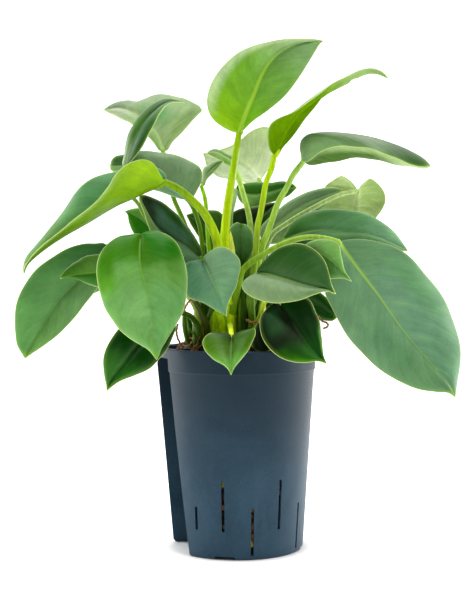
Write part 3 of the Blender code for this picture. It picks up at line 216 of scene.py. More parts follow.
    ("leaf_back_pale", -1,
     [(260, 181), (248, 170), (230, 160), (203, 153.5)],
     [(266.4, 171.8), (271, 164.6), (274.5, 155), (272, 138), (269, 128), (264.6, 127), (257.5, 128.5), (248.6, 133.4), (241.9, 138.8), (230, 146), (215, 151)],
     [(252, 183), (242, 181.6), (227, 180), (220, 177), (213.8, 172.7), (206.6, 164.6), (204.8, 159)],
     (78, 90, 92), (12, 0), (3, 3),
     [(260, 181, 78), (262, 200, 74), (259, 228, 60), (252, 262, 40), (249, 285, 34), (247, 303, 30)], (2.2, 2.8)),
    ("leaf_back_curled", 1,
     [(234.5, 168), (232, 161), (225.4, 156.8), (219, 153.2), (213, 151.9), (206.6, 153.5)],
     [(232.5, 160), (231, 156.6), (225.4, 154.5), (219, 151), (213, 150.2)],
     [(231, 167), (228, 165), (222, 162), (213, 157)],
     (56, 62, 66), (14, -10), (2, 2),
     [(234.5, 168, 56), (238, 177, 50), (243, 193.5, 42), (248.5, 213.6, 32), (250.4, 229, 25), (250, 255, 17), (246, 282, 10)], (2.6, 3.4)),
    ("leaf_back_small", 1,
     [(201.7, 185), (208, 174), (216, 166), (224, 161.5)],
     [(202.5, 176), (203, 169), (209, 164.6), (220, 160)],
     [(204, 184), (208.4, 178), (213.8, 172.7), (219, 167)],
     (33, 37, 41), (3, -3), (2, 2),
     [(201.3, 186, 33), (204.8, 197.7, 29), (206.2, 209, 26), (207, 225, 20), (209, 250, 13), (212, 280, 8), (213, 310, 6)], (1.8, 2.4)),
    ("leaf_back_dark", 1,
     [(236, 190), (250, 194), (268, 192), (283, 188), (297, 188)],
     [(237, 185.5), (242.3, 183.4), (257.5, 182.5), (271, 183), (278, 181.2), (285, 181.2), (293, 184)],
     [(238.8, 199.5), (247.7, 208.4), (250.4, 212), (266.4, 204), (276, 201), (288, 196)],
     (62, 66, 60), (4, -3), (2, 2),
     [(236, 190, 62), (233.5, 203, 46), (231, 215, 39), (231, 232, 32), (231, 262, 20), (232, 300, 11)], (2.0, 2.6)),
    ("leaf_deep_dark", 1,
     [(238, 238), (250, 226), (264, 213), (278, 202)],
     [(231, 230), (230.7, 216), (240.5, 208.4), (250.4, 207), (265, 204)],
     [(246, 243), (256, 238), (264, 226), (272, 214)],
     (46, 50, 54), (2, -2), (2, 2),
     [(238, 238, 46), (239, 255, 34), (240, 280, 18), (241, 300, 10)], (2.0, 2.6)),
    ("leaf_between_stalks", 1,
     [(221, 252), (214, 234), (203, 222), (186, 215)],
     [(226, 240), (226, 222), (219, 211), (208.4, 210.5), (196, 212)],
     [(215, 254), (206, 246), (197, 234), (190, 223)],
     (28, 34, 38), (2, -2), (2, 2),
     [(221, 252, 28), (222, 270, 18), (222, 290, 11)], (2.0, 2.6)),
    ("leaf_left_small", 1,
     [(165, 240), (150, 228), (138, 218), (124.5, 211.5)],
     [(166, 232), (158, 220), (148, 212), (142, 209.5), (138.4, 208.5), (131, 209)],
     [(160, 246), (148, 243), (138, 238), (132.4, 231), (128.7, 222.4), (127.5, 215)],
     (24, 26, 22), (2, -2), (2, 2),
     [(165, 240, 24), (178, 254, 20), (191, 276, 17), (199, 300, 17), (203, 325, 18)], (1.8, 2.4)),
    ("leaf_big_left", 1,
     [(108, 246), (97, 262), (79, 279), (58.5, 300), (43, 325), (33, 343), (25, 359)],
     [(103, 243), (94.9, 243.4), (85, 243.4), (67, 248.3), (49.4, 259), (33.6, 273), (21.7, 291), (15.8, 306.7), (14.2, 320.5), (15, 334), (17, 345)],
     [(112, 252), (113, 262), (105, 275), (96.7, 288.3), (92, 294.6), (83, 306), (71.5, 322), (60, 333.6), (45, 345), (33, 353)],
     (-12, -12, -20), (-3, -2), (4, 4),
     [(108, 246, -12), (125, 241, -9), (150, 247, -5), (175, 262, 0), (195, 285, 0), (203, 305, -4), (202, 325, -6)], (2.2, 3.0)),
    ("leaf_left_folded", 1,
     [(116, 268), (97, 272), (80, 274), (70, 275.5), (60, 278.5)],
     [(112, 262), (106, 257), (99.7, 255), (85, 257), (74, 262.4), (64.5, 271)],
     [(112, 280), (104, 286), (96.6, 287), (90, 285.4), (82.7, 282), (75.4, 278.5), (68, 277)],
     (-40, -44, -46), (10, 4), (2, 2),
     [(116, 268, -40), (130, 270, -38), (155, 276, -32), (178, 288, -22), (193, 303, -15), (200, 324, -12)], (1.8, 2.6)),
    ("leaf_big_front", 1,
     [(141, 235), (139.5, 254), (140.4, 266), (145, 284), (148.4, 300), (153, 323), (156, 346), (157, 360)],
     [(138, 233.5), (131, 234.5), (119, 237), (107, 245.4), (100.3, 255), (97.5, 268.4), (98, 288), (103.6, 307), (111.7, 320), (118.5, 329), (129, 337), (140.4, 344), (148.4, 349.7)],
     [(143.8, 233), (150.7, 231.2), (158.7, 232), (168, 236), (177, 244), (184, 256.7), (187.2, 269.4), (187.7, 284.3), (186.3, 298), (181.7, 311.8), (176, 323.3), (166.8, 339.4), (161, 349.7)],
     (-62, -88, -102), (5, 8), (5, 5),
     [(141, 235, -62), (150, 246, -55), (166, 263, -43), (182, 283, -28), (196, 303, -20), (206, 322, -16)], (2.4, 3.0)),
    ("leaf_bottom_left", 1,
     [(168, 318), (152, 334), (139, 346), (124, 364), (110.5, 383), (106.5, 392)],
     [(158, 314), (140, 316), (126, 321), (118, 329), (110.5, 339.4), (106, 349.7), (103.4, 362), (104.2, 375), (106, 385)],
     [(174, 320), (176, 329), (174.8, 332.5), (170.2, 344), (165.6, 352), (157.6, 360.6), (151.8, 366.4), (145, 371), (133.5, 376), (122, 380.7), (112.8, 386.5)],
     (-38, -56, -68), (0, -3), (4, 4),
     [(168, 318, -38), (178, 313, -32), (190, 316, -24), (198, 326, -16)], (2.2, 2.8)),
    ("leaf_low_right", 1,
     [(268, 292), (292, 296), (315, 305), (337, 318)],
     [(280, 284), (300, 284), (322, 294), (333, 306)],
     [(276, 304), (296, 316), (320, 320), (332, 321)],
     (10, 14, 16), (2, -2), (2, 2),
     [(268, 292, 10), (260, 300, 8), (252, 312, 8)], (1.8, 2.4)),
    ("leaf_low_front", 1,
     [(262, 322), (262, 333), (264, 345), (268, 352)],
     [(257, 324), (253, 334), (252, 346), (260, 352)],
     [(268, 324), (272, 334), (273, 345)],
     (-48, -54, -57), (1, 1), (2, 2),
     [(262, 322, -48), (260, 329, -42), (254, 337, -29), (248, 341, -14)], (1.6, 2.0)),
    ("leaf_rear_right", 1,
     [(338, 258), (360, 275), (385, 300), (410, 335), (432, 362)],
     [(350, 248), (375, 255), (400, 272), (425, 300), (438, 330), (440, 350)],
     [(334, 270), (340, 295), (355, 320), (380, 345), (410, 362)],
     (42, 78, 96), (8, 8), (4, 4),
     [(338, 258, 42), (315, 262, 34), (290, 275, 22), (268, 290, 14), (253, 308, 11)], (2.4, 3.0)),
    ("leaf_rear_left", 1,
     [(155, 262), (125, 262), (95, 275), (65, 300), (45, 325)],
     [(150, 250), (125, 248), (95, 252), (65, 262), (42, 285), (36, 310)],
     [(150, 275), (125, 286), (103, 290), (85, 298), (70, 312), (56, 325)],
     (34, 68, 88), (4, 4), (4, 4),
     [(155, 262, 34), (172, 275, 26), (190, 294, 16), (200, 318, 12)], (2.4, 3.0)),
    ("leaf_rear_left_upper", 1,
     [(190, 190), (172, 178), (152, 170), (130, 163)],
     [(194, 180), (188, 168), (170, 160), (148, 156), (136, 157)],
     [(180, 192), (160, 185), (140, 178), (130, 170)],
     (64, 96, 104), (6, -4), (3, 3),
     [(190, 190, 64), (193, 207, 58), (199, 227, 50), (203, 250, 42), (207, 280, 26), (208, 312, 14)], (2.2, 2.8)),
    ("leaf_rear_top", 1,
     [(240, 128), (250, 105), (262, 82), (280, 62)],
     [(232, 120), (222, 108), (218, 95), (226, 78), (242, 64), (262, 56)],
     [(248, 122), (262, 108), (278, 92), (290, 76), (290, 66)],
     (58, 84, 100), (6, 6), (4, 4),
     [(240, 128, 58), (237, 150, 46), (233.5, 175, 34), (229.5, 205, 24), (226, 240, 12), (226, 262, 5)], (2.4, 3.2)),
    ("leaf_rear_right_upper", 1,
     [(292, 232), (318, 222), (345, 214), (372, 212)],
     [(300, 222), (318, 206), (340, 196), (362, 196)],
     [(305, 238), (330, 236), (355, 230), (368, 222)],
     (60, 86, 102), (4, 2), (3, 3),
     [(292, 232, 60), (284, 245, 46), (272, 262, 30), (260, 285, 18), (252, 305, 14)], (2.2, 2.8)),
    ("leaf_rear_hanging_right", 1,
     [(270, 300), (285, 325), (292, 360), (290, 400)],
     [(262, 310), (258, 340), (268, 375), (282, 395)],
     [(285, 305), (302, 325), (308, 350), (300, 385)],
     (44, 88, 98), (4, 4), (4, 4),
     [(270, 300, 44), (262, 296, 32), (254, 302, 20), (248, 318, 12)], (2.4, 3.0)),
    ("leaf_rear_hanging_left", 1,
     [(214, 318), (200, 334), (190, 365), (196, 402)],
     [(205, 322), (188, 334), (178, 360), (182, 388)],
     [(222, 322), (222, 345), (216, 375), (206, 396)],
     (60, 96, 100), (4, 4), (4, 4),
     [(214, 318, 60), (216, 310, 46), (219, 310, 28), (221, 322, 14)], (2.2, 2.8)),
]

# name, axis points (u, v, y), radius at foot and top; the feet stand in the substrate
STEMS = [
    ("stem_main", [(229, 362, 0), (229, 330, 0), (229.5, 300, -3), (229.5, 266, -5)], 9.2, 7.4),
    ("stem_right", [(246.5, 362, 5), (246, 330, 4), (245.5, 308, 3)], 5.8, 5.2),
    ("stem_left", [(205, 362, 2), (205, 345, 1), (206, 332, 0)], 6.4, 5.6),
]
NEW_LEAF = [(232.6, 262, -4), (232, 250, -5), (231, 240, -6), (230.3, 231, -6.5)]
ROOTS = [
    ("root_left_high", [(195, 301, -39), (192, 300, -42), (189, 301.5, -44), (186, 306, -44), (183, 312, -43)], 0.8),
    ("root_left_low", [(177.6, 324, -14), (176.5, 331, -15), (178, 339, -15), (182, 346, -14)], 0.8),
    ("root_left_branch", [(187, 347, -30), (190, 345, -30), (192.5, 341, -29)], 0.7),
    ("root_right_ring", [(247, 320, -34), (252, 322.5, -36), (258, 321, -35)], 1.0),
    ("root_far_right", [(318, 316, -8), (322, 321, -9), (327, 323, -9), (328, 326, -9), (323, 329, -9)], 0.8),
]


# ---------------------------------------------------------------- the board and its curves
def place(points):
    """Board points (u, v) with depth y, in millimetres of the plant's own frame."""
    p = np.asarray(points, float)
    reach = (EYE_DIST + p[..., 2]) / EYE_DIST
    x = (p[..., 0] - AXIS_U) / BOARD * reach
    z = EYE_HEIGHT + ((FOOT_V - p[..., 1]) / BOARD - EYE_HEIGHT) * reach
    return np.stack([x, p[..., 2], z], -1)


def smooth(points, count):
    """A centripetal Catmull-Rom curve through the points, as count points evenly spaced along it."""
    p = np.asarray(points, float)
    p = np.vstack([2 * p[0] - p[1], p, 2 * p[-1] - p[-2]])
    fine = []
    for i in range(1, len(p) - 2):
        a, b, c, d = p[i - 1 : i + 3]
        t0 = 0.0
        t1 = t0 + max(np.linalg.norm(b - a), 1e-6) ** 0.5
        t2 = t1 + max(np.linalg.norm(c - b), 1e-6) ** 0.5
        t3 = t2 + max(np.linalg.norm(d - c), 1e-6) ** 0.5
        t = np.linspace(t1, t2, 12, endpoint=False)[:, None]
        ab = (t1 - t) / (t1 - t0) * a + (t - t0) / (t1 - t0) * b
        bc = (t2 - t) / (t2 - t1) * b + (t - t1) / (t2 - t1) * c
        cd = (t3 - t) / (t3 - t2) * c + (t - t2) / (t3 - t2) * d
        abc = (t2 - t) / (t2 - t0) * ab + (t - t0) / (t2 - t0) * bc
        bcd = (t3 - t) / (t3 - t1) * bc + (t - t1) / (t3 - t1) * cd
        fine.append((t2 - t) / (t2 - t1) * abc + (t - t1) / (t2 - t1) * bcd)
    fine = np.vstack([*fine, p[-2][None]])
    run = np.concatenate([[0.0], np.cumsum(np.linalg.norm(np.diff(fine, axis=0), axis=1))])
    at = np.linspace(0, run[-1], count)
    return np.stack([np.interp(at, run, fine[:, k]) for k in range(p.shape[1])], -1)


def warp(curve, power):
    """The same curve, its points bunched towards its start."""
    at = np.linspace(0, 1, len(curve)) ** power * (len(curve) - 1)
    return np.stack([np.interp(at, np.arange(len(curve)), curve[:, k]) for k in range(curve.shape[1])], -1)


# ---------------------------------------------------------------- keeping stalks apart
def stalk_lines(count):
    """Each stalk's centre line and radii. Where stalks or stems would touch, they give way, mostly towards or away from the eye, in small repeated steps."""
    lines, radii, owners, free = [], [], [], []
    for k, row in enumerate(LEAVES):
        line = place(smooth(row[8], count))
        lines.append(line)
        f = np.linspace(0, 1, count)
        radii.append(row[9][0] + (row[9][1] - row[9][0]) * f**1.2)
        owners.append(np.full(count, k))
        free.append(np.clip((f - 0.06) / 0.25, 0, 1))
    fixed_lines, fixed_radii = [], []
    for k, (_, points, low, high) in enumerate(STEMS):
        line = place(smooth(points, 24))
        fixed_lines.append(line)
        fixed_radii.append(np.linspace(low, high, 24))
    bud = place(smooth(NEW_LEAF, 10))
    fixed_lines.append(bud)
    fixed_radii.append(np.linspace(3.2, 0.8, 10))
    for _, points, radius in ROOTS:
        line = place(smooth(points, 10))
        fixed_lines.append(line)
        fixed_radii.append(np.full(10, radius))
    still = np.vstack(fixed_lines)
    still_r = np.concatenate(fixed_radii)
    p = np.vstack(lines)
    r = np.concatenate(radii)
    who = np.concatenate(owners)
    loose = np.concatenate(free)[:, None]
    bias = np.array([0.35, 1.0, 0.15])
    near = None
    for step in range(260):
        if step % 20 == 0:
            d = np.linalg.norm(p[:, None] - p[None], axis=2)
            near = np.argwhere((d < r[:, None] + r[None] + 9) & (who[:, None] < who[None]))
        a, b = near[:, 0], near[:, 1]
        d = p[a] - p[b]
        size = np.linalg.norm(d, axis=1) + 1e-9
        deep = np.clip(r[a] + r[b] + 0.9 - size, 0, None)
        push = d / size[:, None] * (deep * 0.5)[:, None]
        move = np.zeros_like(p)
        np.add.at(move, a, push)
        np.add.at(move, b, -push)
        d = p[:, None] - still[None]
        size = np.linalg.norm(d, axis=2) + 1e-9
        deep = np.clip(r[:, None] + still_r[None] + 0.9 - size, 0, None)
        move += (d / size[..., None] * (deep * 0.5)[..., None]).sum(axis=1)
        move = np.clip(move, -0.8, 0.8) * bias * loose
        shaped = move.reshape(len(LEAVES), count, 3)
        for _ in range(3):
            even = shaped.copy()
            even[:, 1:-1] = (shaped[:, :-2] + 2 * shaped[:, 1:-1] + shaped[:, 2:]) / 4
            even[:, -1] = (shaped[:, -2] + shaped[:, -1]) / 2
            shaped = even
        p = p + shaped.reshape(-1, 3) * 1.6 * loose
    return p.reshape(len(LEAVES), count, 3), np.stack(radii)


# ---------------------------------------------------------------- Blender helpers
def collection(name):
    made = bpy.data.collections.new(name)
    bpy.context.scene.collection.children.link(made)
    return made


def from_bmesh(name, bm, home, mat=None):
    mesh = bpy.data.meshes.new(name)
    bmesh.ops.recalc_face_normals(bm, faces=bm.faces[:])
    bm.to_mesh(mesh)
    bm.free()
    ob = bpy.data.objects.new(name, mesh)
    home.objects.link(ob)
    if mat:
        mesh.materials.append(mat)
    return ob


def boolean(ob, cutter, how):
    mod = ob.modifiers.new(how.lower() + "_" + cutter.name, "BOOLEAN")
    mod.operation = how
    mod.solver = "EXACT"
    mod.object = cutter


def cutter_look(ob):
    ob.hide_render = True
    ob.display_type = "WIRE"


def lathe(name, profiles, home, steps):
    """Turned solids: profiles at +X, each listed from the top of its outer side down, turned by a Screw modifier. A profile that ends where it starts makes a ring."""
    bm = bmesh.new()
    for profile in profiles:
        ring = profile[0] == profile[-1]
        verts = [bm.verts.new((r * MM, 0, z * MM)) for r, z in (profile[:-1] if ring else profile)]
        for a, b in zip(verts, verts[1:]):
            bm.edges.new((a, b))
        if ring:
            bm.edges.new((verts[-1], verts[0]))
    mesh = bpy.data.meshes.new(name)
    bm.to_mesh(mesh)
    bm.free()
    ob = bpy.data.objects.new(name, mesh)
    home.objects.link(ob)
    mod = ob.modifiers.new("turn", "SCREW")
    mod.steps = mod.render_steps = steps
    mod.use_merge_vertices = True
    mod.merge_threshold = 0.00001
    return ob


def loft(name, rings, home):
    """A closed solid between two or more outlines with the same number of points."""
    bm = bmesh.new()
    loops = [[bm.verts.new(co * MM) for co in ring] for ring in rings]
    for low, high in zip(loops, loops[1:]):
        for i in range(len(low)):
            j = (i + 1) % len(low)
            bm.faces.new((low[i], low[j], high[j], high[i]))
    bm.faces.new(list(reversed(loops[0])))
    bm.faces.new(loops[-1])
    return from_bmesh(name, bm, home)


# ---------------------------------------------------------------- the pot
def channel_outline(z, grow):
    """The gauge channel in plan at height z, with round inner corners: across from the rear to the front, in from the wall."""
    f = z / POT_HEIGHT
    rear, front = -26.4 - 0.6 * f - grow, 34.0 - 12.0 * f + grow
    inner, outer = 40.0 + 9.0 * f - grow, 95.0
    corner = 6.0
    points = [(outer, rear), (outer, front)]
    for turn in range(5):
        a = math.radians(turn * 22.5)
        points.append((inner + corner - corner * math.sin(a), front - corner + corner * math.cos(a)))
    for turn in range(5):
        a = math.radians(turn * 22.5)
        points.append((inner + corner - corner * math.cos(a), rear + corner - corner * math.sin(a)))
    d = np.array([math.cos(CHANNEL_AZ), math.sin(CHANNEL_AZ), 0])
    t = np.array([-math.sin(CHANNEL_AZ), math.cos(CHANNEL_AZ), 0])
    return np.array([d * r + t * across + np.array([0, 0, z]) for r, across in points])


def channel(name, low, high, grow, home):
    return loft(name, [channel_outline(z, grow) for z in (low, high)], home)


def body_r(z):
    return FOOT_R + (BODY_TOP_R - FOOT_R) * z / BAND_LOW


def build_pot(home, cut, mat):
    pot = lathe(
        "pot",
        [[(0, POT_HEIGHT), (RIM_R - 1.0, POT_HEIGHT), (RIM_R, POT_HEIGHT - 1.0), (RIM_R - 0.4, BAND_LOW + 0.6), (RIM_R - 1.0, BAND_LOW), (body_r(BAND_LOW - 1), BAND_LOW - 1), (FOOT_R + 0.1, 1.2), (FOOT_R - 1.2, 0), (0, 0)]],
        home,
        160,
    )
    home_mat = pot.data.materials
    home_mat.append(mat)
    # the channel's rear wall stands proud of the body and leans out towards the rim
    d = np.array([math.cos(CHANNEL_AZ), math.sin(CHANNEL_AZ), 0])
    t = np.array([-math.sin(CHANNEL_AZ), math.cos(CHANNEL_AZ), 0])
    rings = []
    for z, out in FLANGE:
        rear = -26.4 - 0.6 * z / POT_HEIGHT
        corners = [(48.0, rear - 2.4), (out, rear - 2.4), (out, rear + 5.0), (48.0, rear + 5.0)]
        rings.append([d * r + t * across + np.array([0, 0, z]) for r, across in corners])
    flange = loft("channel_flange", rings, cut)
    cutter_look(flange)
    boolean(pot, flange, "UNION")
    outside = channel("channel_cut", -5, RING_LOW, 0, cut)
    cutter_look(outside)
    boolean(pot, outside, "DIFFERENCE")

    hollow = lathe(
        "hollow",
        [
            [(0, POT_HEIGHT + 6), (RIM_R - 3.2, POT_HEIGHT + 6), (RIM_R - 3.4, BAND_LOW + 1), (body_r(BAND_LOW - 1) - WALL, BAND_LOW - 4), (body_r(FLOOR) - WALL, FLOOR), (0, FLOOR)],
            [(0, FOOT_RECESS), (FOOT_R - 3.0, FOOT_RECESS), (FOOT_R - 3.2, -4), (0, -4)],
        ],
        cut,
        160,
    )
    wall = channel("channel_wall", -6, 205, WALL, cut)
    cutter_look(wall)
    boolean(hollow, wall, "DIFFERENCE")
    cutter_look(hollow)
    boolean(pot, hollow, "DIFFERENCE")

    # the channel's mouth, inside the top ring
    mouth = lathe("channel_mouth", [[(0, POT_HEIGHT + 8), (RIM_R - 3.6, POT_HEIGHT + 8), (RIM_R - 3.6, RING_LOW - 0.7), (0, RING_LOW - 0.7)]], cut, 160)
    reach = channel("channel_reach", -7, 215, -0.05, cut)
    cutter_look(reach)
    boolean(mouth, reach, "INTERSECT")
    cutter_look(mouth)
    boolean(pot, mouth, "DIFFERENCE")

    # all slots and foot notches in one cutter
    bm = bmesh.new()
    for k in range(15):
        az = SLOT_FIRST + k * SLOT_STEP
        if 248 < az % 360 < 323:
            continue
        high = k % 2 == 1
        low_z, top_z = (26.0, 72.0) if high else (4.0, 47.0)
        if k == 0:
            low_z = 26.0
        a = math.radians(az - 90)
        out = Vector((math.cos(a), math.sin(a), 0))
        side = Vector((-out.y, out.x, 0))
        made = bmesh.ops.create_cube(bm, size=1.0)["verts"]
        for v in made:
            co = v.co
            r = 64.0 + co.x * 18.0
            z = low_z + (co.z + 0.5) * (top_z - low_z)
            v.co = (out * r + side * (co.y * SLOT_WIDTH) + Vector((0, 0, z))) * MM
    for k in range(4):
        a = math.radians(NOTCH_AT - 90 + 90 * k)
        if k == 3:
            continue  # the channel is there
        out = Vector((math.cos(a), math.sin(a), 0))
        side = Vector((-out.y, out.x, 0))
        for v in bmesh.ops.create_cube(bm, size=1.0)["verts"]:
            co = v.co
            v.co = (out * (62.0 + co.x * 14.0) + side * (co.y * NOTCH_WIDTH) + Vector((0, 0, co.z * 2 * (NOTCH_HEIGHT - 0.2)))) * MM
    slots = from_bmesh("slots_and_notches", bm, cut)
    cutter_look(slots)
    boolean(pot, slots, "DIFFERENCE")
    return pot


# ---------------------------------------------------------------- fine leaves
def leaf_surface(row, stations, cross):
    """As the CAD blade, with its own places across, and with the true width of each half in millimetres."""
    _, face, mid, one, other, depth, extra, bulge, _, _ = row
    fine = 241
    t = np.linspace(0, 1, fine)
    y = depth[0] * (1 - t) * (1 - 2 * t) + 4 * depth[1] * t * (1 - t) + depth[2] * t * (2 * t - 1)
    rib = warp(smooth(mid, fine), 1.25)
    rib_y = np.interp(t**1.25, t, y)
    swell = np.sin(np.pi * np.clip(t, 0, 1)) ** 0.6
    spine = place(np.column_stack([rib, rib_y]))
    sides = []
    for line, more in ((one, extra[0]), (other, extra[1])):
        edge = smooth([mid[0], *line, mid[-1]], fine)
        sides.append(place(np.column_stack([edge, rib_y + more * swell])))
    at = np.linspace(0, 1, stations) * (fine - 1)
    pick = lambda a: np.stack([np.interp(at, np.arange(fine), a[:, k]) for k in range(a.shape[1])], -1)
    spine, left, right = pick(spine), pick(sides[0]), pick(sides[1])
    swell = np.interp(at, np.arange(fine), swell)
    along = np.gradient(spine, axis=0)
    grid = np.zeros((stations, len(cross), 3))
    turns = []
    for edge in (left, right):
        turn = np.cross(along, edge - spine)
        turn /= np.linalg.norm(turn, axis=1, keepdims=True) + 1e-9
        turn *= np.where((turn[:, 1] < 0) == (face > 0), 1, -1)[:, None]
        for _ in range(6):
            turn[1:-1] = (turn[:-2] + 2 * turn[1:-1] + turn[2:]) / 4
        turns.append(turn / (np.linalg.norm(turn, axis=1, keepdims=True) + 1e-9))
    for j, s in enumerate(cross):
        edge, turn, lift = (left, turns[0], bulge[0]) if s < 0 else (right, turns[1], bulge[1])
        a = abs(s)
        grid[:, j] = spine + (edge - spine) * a + turn * (lift * 4 * a * (1 - a) * swell)[:, None]
    widths = [np.linalg.norm(left - spine, axis=1), np.linalg.norm(right - spine, axis=1)]
    return grid, widths


def surface_normals(grid):
    du = np.gradient(grid, axis=0)
    dv = np.gradient(grid, axis=1)
    du[0], du[-1] = du[1], du[-2]
    dv[0], dv[-1] = dv[1], dv[-2]
    n = np.cross(du, dv)
    return n / (np.linalg.norm(n, axis=2, keepdims=True) + 1e-9)


STATIONS = 89
CROSS = np.concatenate([-np.sin(np.linspace(1, 0, 17) * np.pi / 2), np.sin(np.linspace(0, 1, 17) * np.pi / 2)[1:]])
LATERALS = 11


def fine_leaf(row, line, radii, index):
    """One leaf as one closed blade with its stalk: verts, faces, face slots (0 upper, 1 under, 2 stalk), and point values for the materials."""
    face = row[1]
    grid, widths = leaf_surface(row, STATIONS, CROSS)
    n = surface_normals(grid)
    middle = n[STATIONS // 2].mean(axis=0)
    flip = 1 if (middle[1] < 0) == (face > 0) else -1
    n = n * flip
    t = np.linspace(0, 1, STATIONS)[:, None]
    a = np.abs(CROSS)[None]
    wide = np.where(CROSS[None] < 0, widths[0][:, None], widths[1][:, None])
    rib, edge = a * wide, (1 - a) * wide
    big = max(widths[0].max(), widths[1].max())
    phase = LATERALS * (t**0.9 - 0.20 * a**1.15)
    seed = index * 1.7
    # a channel along the midrib, soft quilting between the side veins, and a wavy margin
    form = -0.9 * np.exp(-((rib / 2.6) ** 2)) * (1 - 0.6 * t)
    form = form + 0.05 * np.cos(2 * np.pi * phase) * np.clip(a * 3, 0, 1) * (1 - a) * min(big / 25, 1.2)
    form = form + (0.035 * big) * np.sin(2 * np.pi * (1.6 * t + 0.13 * seed) + np.sign(CROSS[None]) * 0.8) * a**3 * np.sin(np.pi * t)
    form = form + (0.012 * big) * np.sin(2 * np.pi * (4.3 * t + 0.37 * seed) + np.sign(CROSS[None]) * 1.9) * a**4 * np.sin(np.pi * t)
    form = form * np.clip(t * 12, 0, 1) * np.clip((1 - t) * 10, 0, 1)
    grid = grid + n * form[..., None]
    thick = 0.22 + 0.33 * np.clip(edge / 2.2, 0, 1) ** 0.6
    keel = 1.5 * (1 - t) ** 0.8 * np.exp(-((rib / 1.5) ** 2)) + 0.12 * np.exp(-(((phase % 1.0) - 0.5) / 0.07) ** 2) * (1 - a) * np.clip(a * 6, 0, 1)
    up = grid + n * thick[..., None]
    low = grid - n * (thick + keel * np.clip((1 - t) * 8, 0, 1))[..., None]

    verts, faces, slots = [], [], []
    vt, vs, vr, ve = [], [], [], []

    def add(block):
        ids = np.empty(block.shape[:2], int)
        for i in range(block.shape[0]):
            for j in range(block.shape[1]):
                if i in (0, STATIONS - 1) and j:
                    ids[i, j] = ids[i, 0]
                    continue
                c = block.shape[1] // 2
                jj = c if i in (0, STATIONS - 1) else j
                ids[i, j] = len(verts)
                verts.append(block[i, jj])
                vt.append(t[i, 0])
                vs.append(CROSS[jj])
                vr.append(rib[i, jj])
                ve.append(edge[i, jj])
        return ids

    iu, il = add(up), add(low)

    def quad(ids, slot):
        single = list(dict.fromkeys(ids))
        if len(single) > 2:
            faces.append(single)
            slots.append(slot)

    cols = len(CROSS)
    for i in range(STATIONS - 1):
        for j in range(cols - 1):
            a4 = (iu[i, j], iu[i + 1, j], iu[i + 1, j + 1], iu[i, j + 1])
            b4 = (il[i, j], il[i, j + 1], il[i + 1, j + 1], il[i + 1, j])
            quad(a4 if flip > 0 else a4[::-1], 0)
            quad(b4 if flip > 0 else b4[::-1], 1)
        for j, way in ((0, 1), (cols - 1, -1)):
            ring = (iu[i, j], il[i, j], il[i + 1, j], iu[i + 1, j])
            quad(ring if way * flip > 0 else ring[::-1], 0)

    # the stalk: its centre line goes on under the midrib and fades out in the keel
    count = 64
    ahead = low[[9, 6, 3, 1], cols // 2] + n[[9, 6, 3, 1], cols // 2] * np.array([0.9, 1.0, 1.1, 1.2])[:, None]
    foot = line[-1]
    low_z = max(foot[2] - 30.0, 176.0)
    homes = []
    for _, points, _, _ in STEMS:
        axis = place(smooth(points, 30))
        homes.append(axis[np.argmin(np.abs(axis[:, 2] - low_z))])
    stem = min(homes, key=lambda q: np.hypot(*(q[:2] - foot[:2])))
    goal = np.array([*(stem[:2] + (foot[:2] - stem[:2]) * 0.30), low_z])
    path = np.vstack([ahead, line, foot + (goal - foot) * 0.45 + (foot - line[-5]) * 0.25, goal])
    size = np.concatenate([[0.5, 0.75 * radii[0], 0.9 * radii[0], radii[0]], radii, [radii[-1] * 1.12, radii[-1] * 1.3]])
    both = smooth(np.column_stack([path, size]), count)
    path, size = both[:, :3], both[:, 3]
    f = np.linspace(0, 1, count)
    size = size * (1 + 0.10 * np.exp(-((f - 0.12) / 0.03) ** 2)) * (1 + 0.22 * np.clip((f - 0.8) / 0.2, 0, 1) ** 2)
    tangent = np.gradient(path, axis=0)
    tangent /= np.linalg.norm(tangent, axis=1, keepdims=True)
    side = np.cross(tangent, [0, 1, 0])
    side /= np.linalg.norm(side, axis=1, keepdims=True) + 1e-9
    other = np.cross(tangent, side)
    sides = 18
    start = len(verts)
    for i in range(count):
        for k in range(sides):
            b = 2 * math.pi * k / sides
            # slightly flattened, with a shallow channel on the upper side
            r = size[i] * (1 - 0.10 * max(0.0, math.sin(b)) ** 6) * (1 + 0.02 * math.sin(5 * b + 9 * f[i]))
            verts.append(path[i] + side[i] * math.cos(b) * r + other[i] * math.sin(b) * r)
            vt.append(f[i])
            vs.append(math.sin(b))
            vr.append(0)
            ve.append(9)
    for i in range(count - 1):
        for k in range(sides):
            k2 = (k + 1) % sides
            faces.append([start + i * sides + k, start + i * sides + k2, start + (i + 1) * sides + k2, start + (i + 1) * sides + k])
            slots.append(2)
    for i, way in ((0, -1), (count - 1, 1)):
        ring = [start + i * sides + k for k in range(sides)]
        faces.append(ring[::way])
        slots.append(2)
    return np.array(verts), faces, slots, (vt, vs, vr, ve)


def piece(name, verts, faces, slots, values, mats):
    mesh = bpy.data.meshes.new(name)
    mesh.from_pydata((np.asarray(verts) * MM).tolist(), [], faces)
    for mat in mats:
        mesh.materials.append(mat)
    if slots is not None:
        mesh.polygons.foreach_set("material_index", slots)
    for label, value in (values or {}).items():
        attribute = mesh.attributes.new(label, "FLOAT", "POINT")
        attribute.data.foreach_set("value", np.asarray(value, np.float32))
    mesh.shade_smooth()
    mesh.update()
    ob = bpy.data.objects.new(name, mesh)
    bpy.context.scene.collection.objects.link(ob)
    return ob


# ---------------------------------------------------------------- materials
def srgb(c):
    c = np.asarray(c, float) / 255
    return tuple(np.where(c <= 0.04045, c / 12.92, ((c + 0.055) / 1.055) ** 2.4)) + (1.0,)


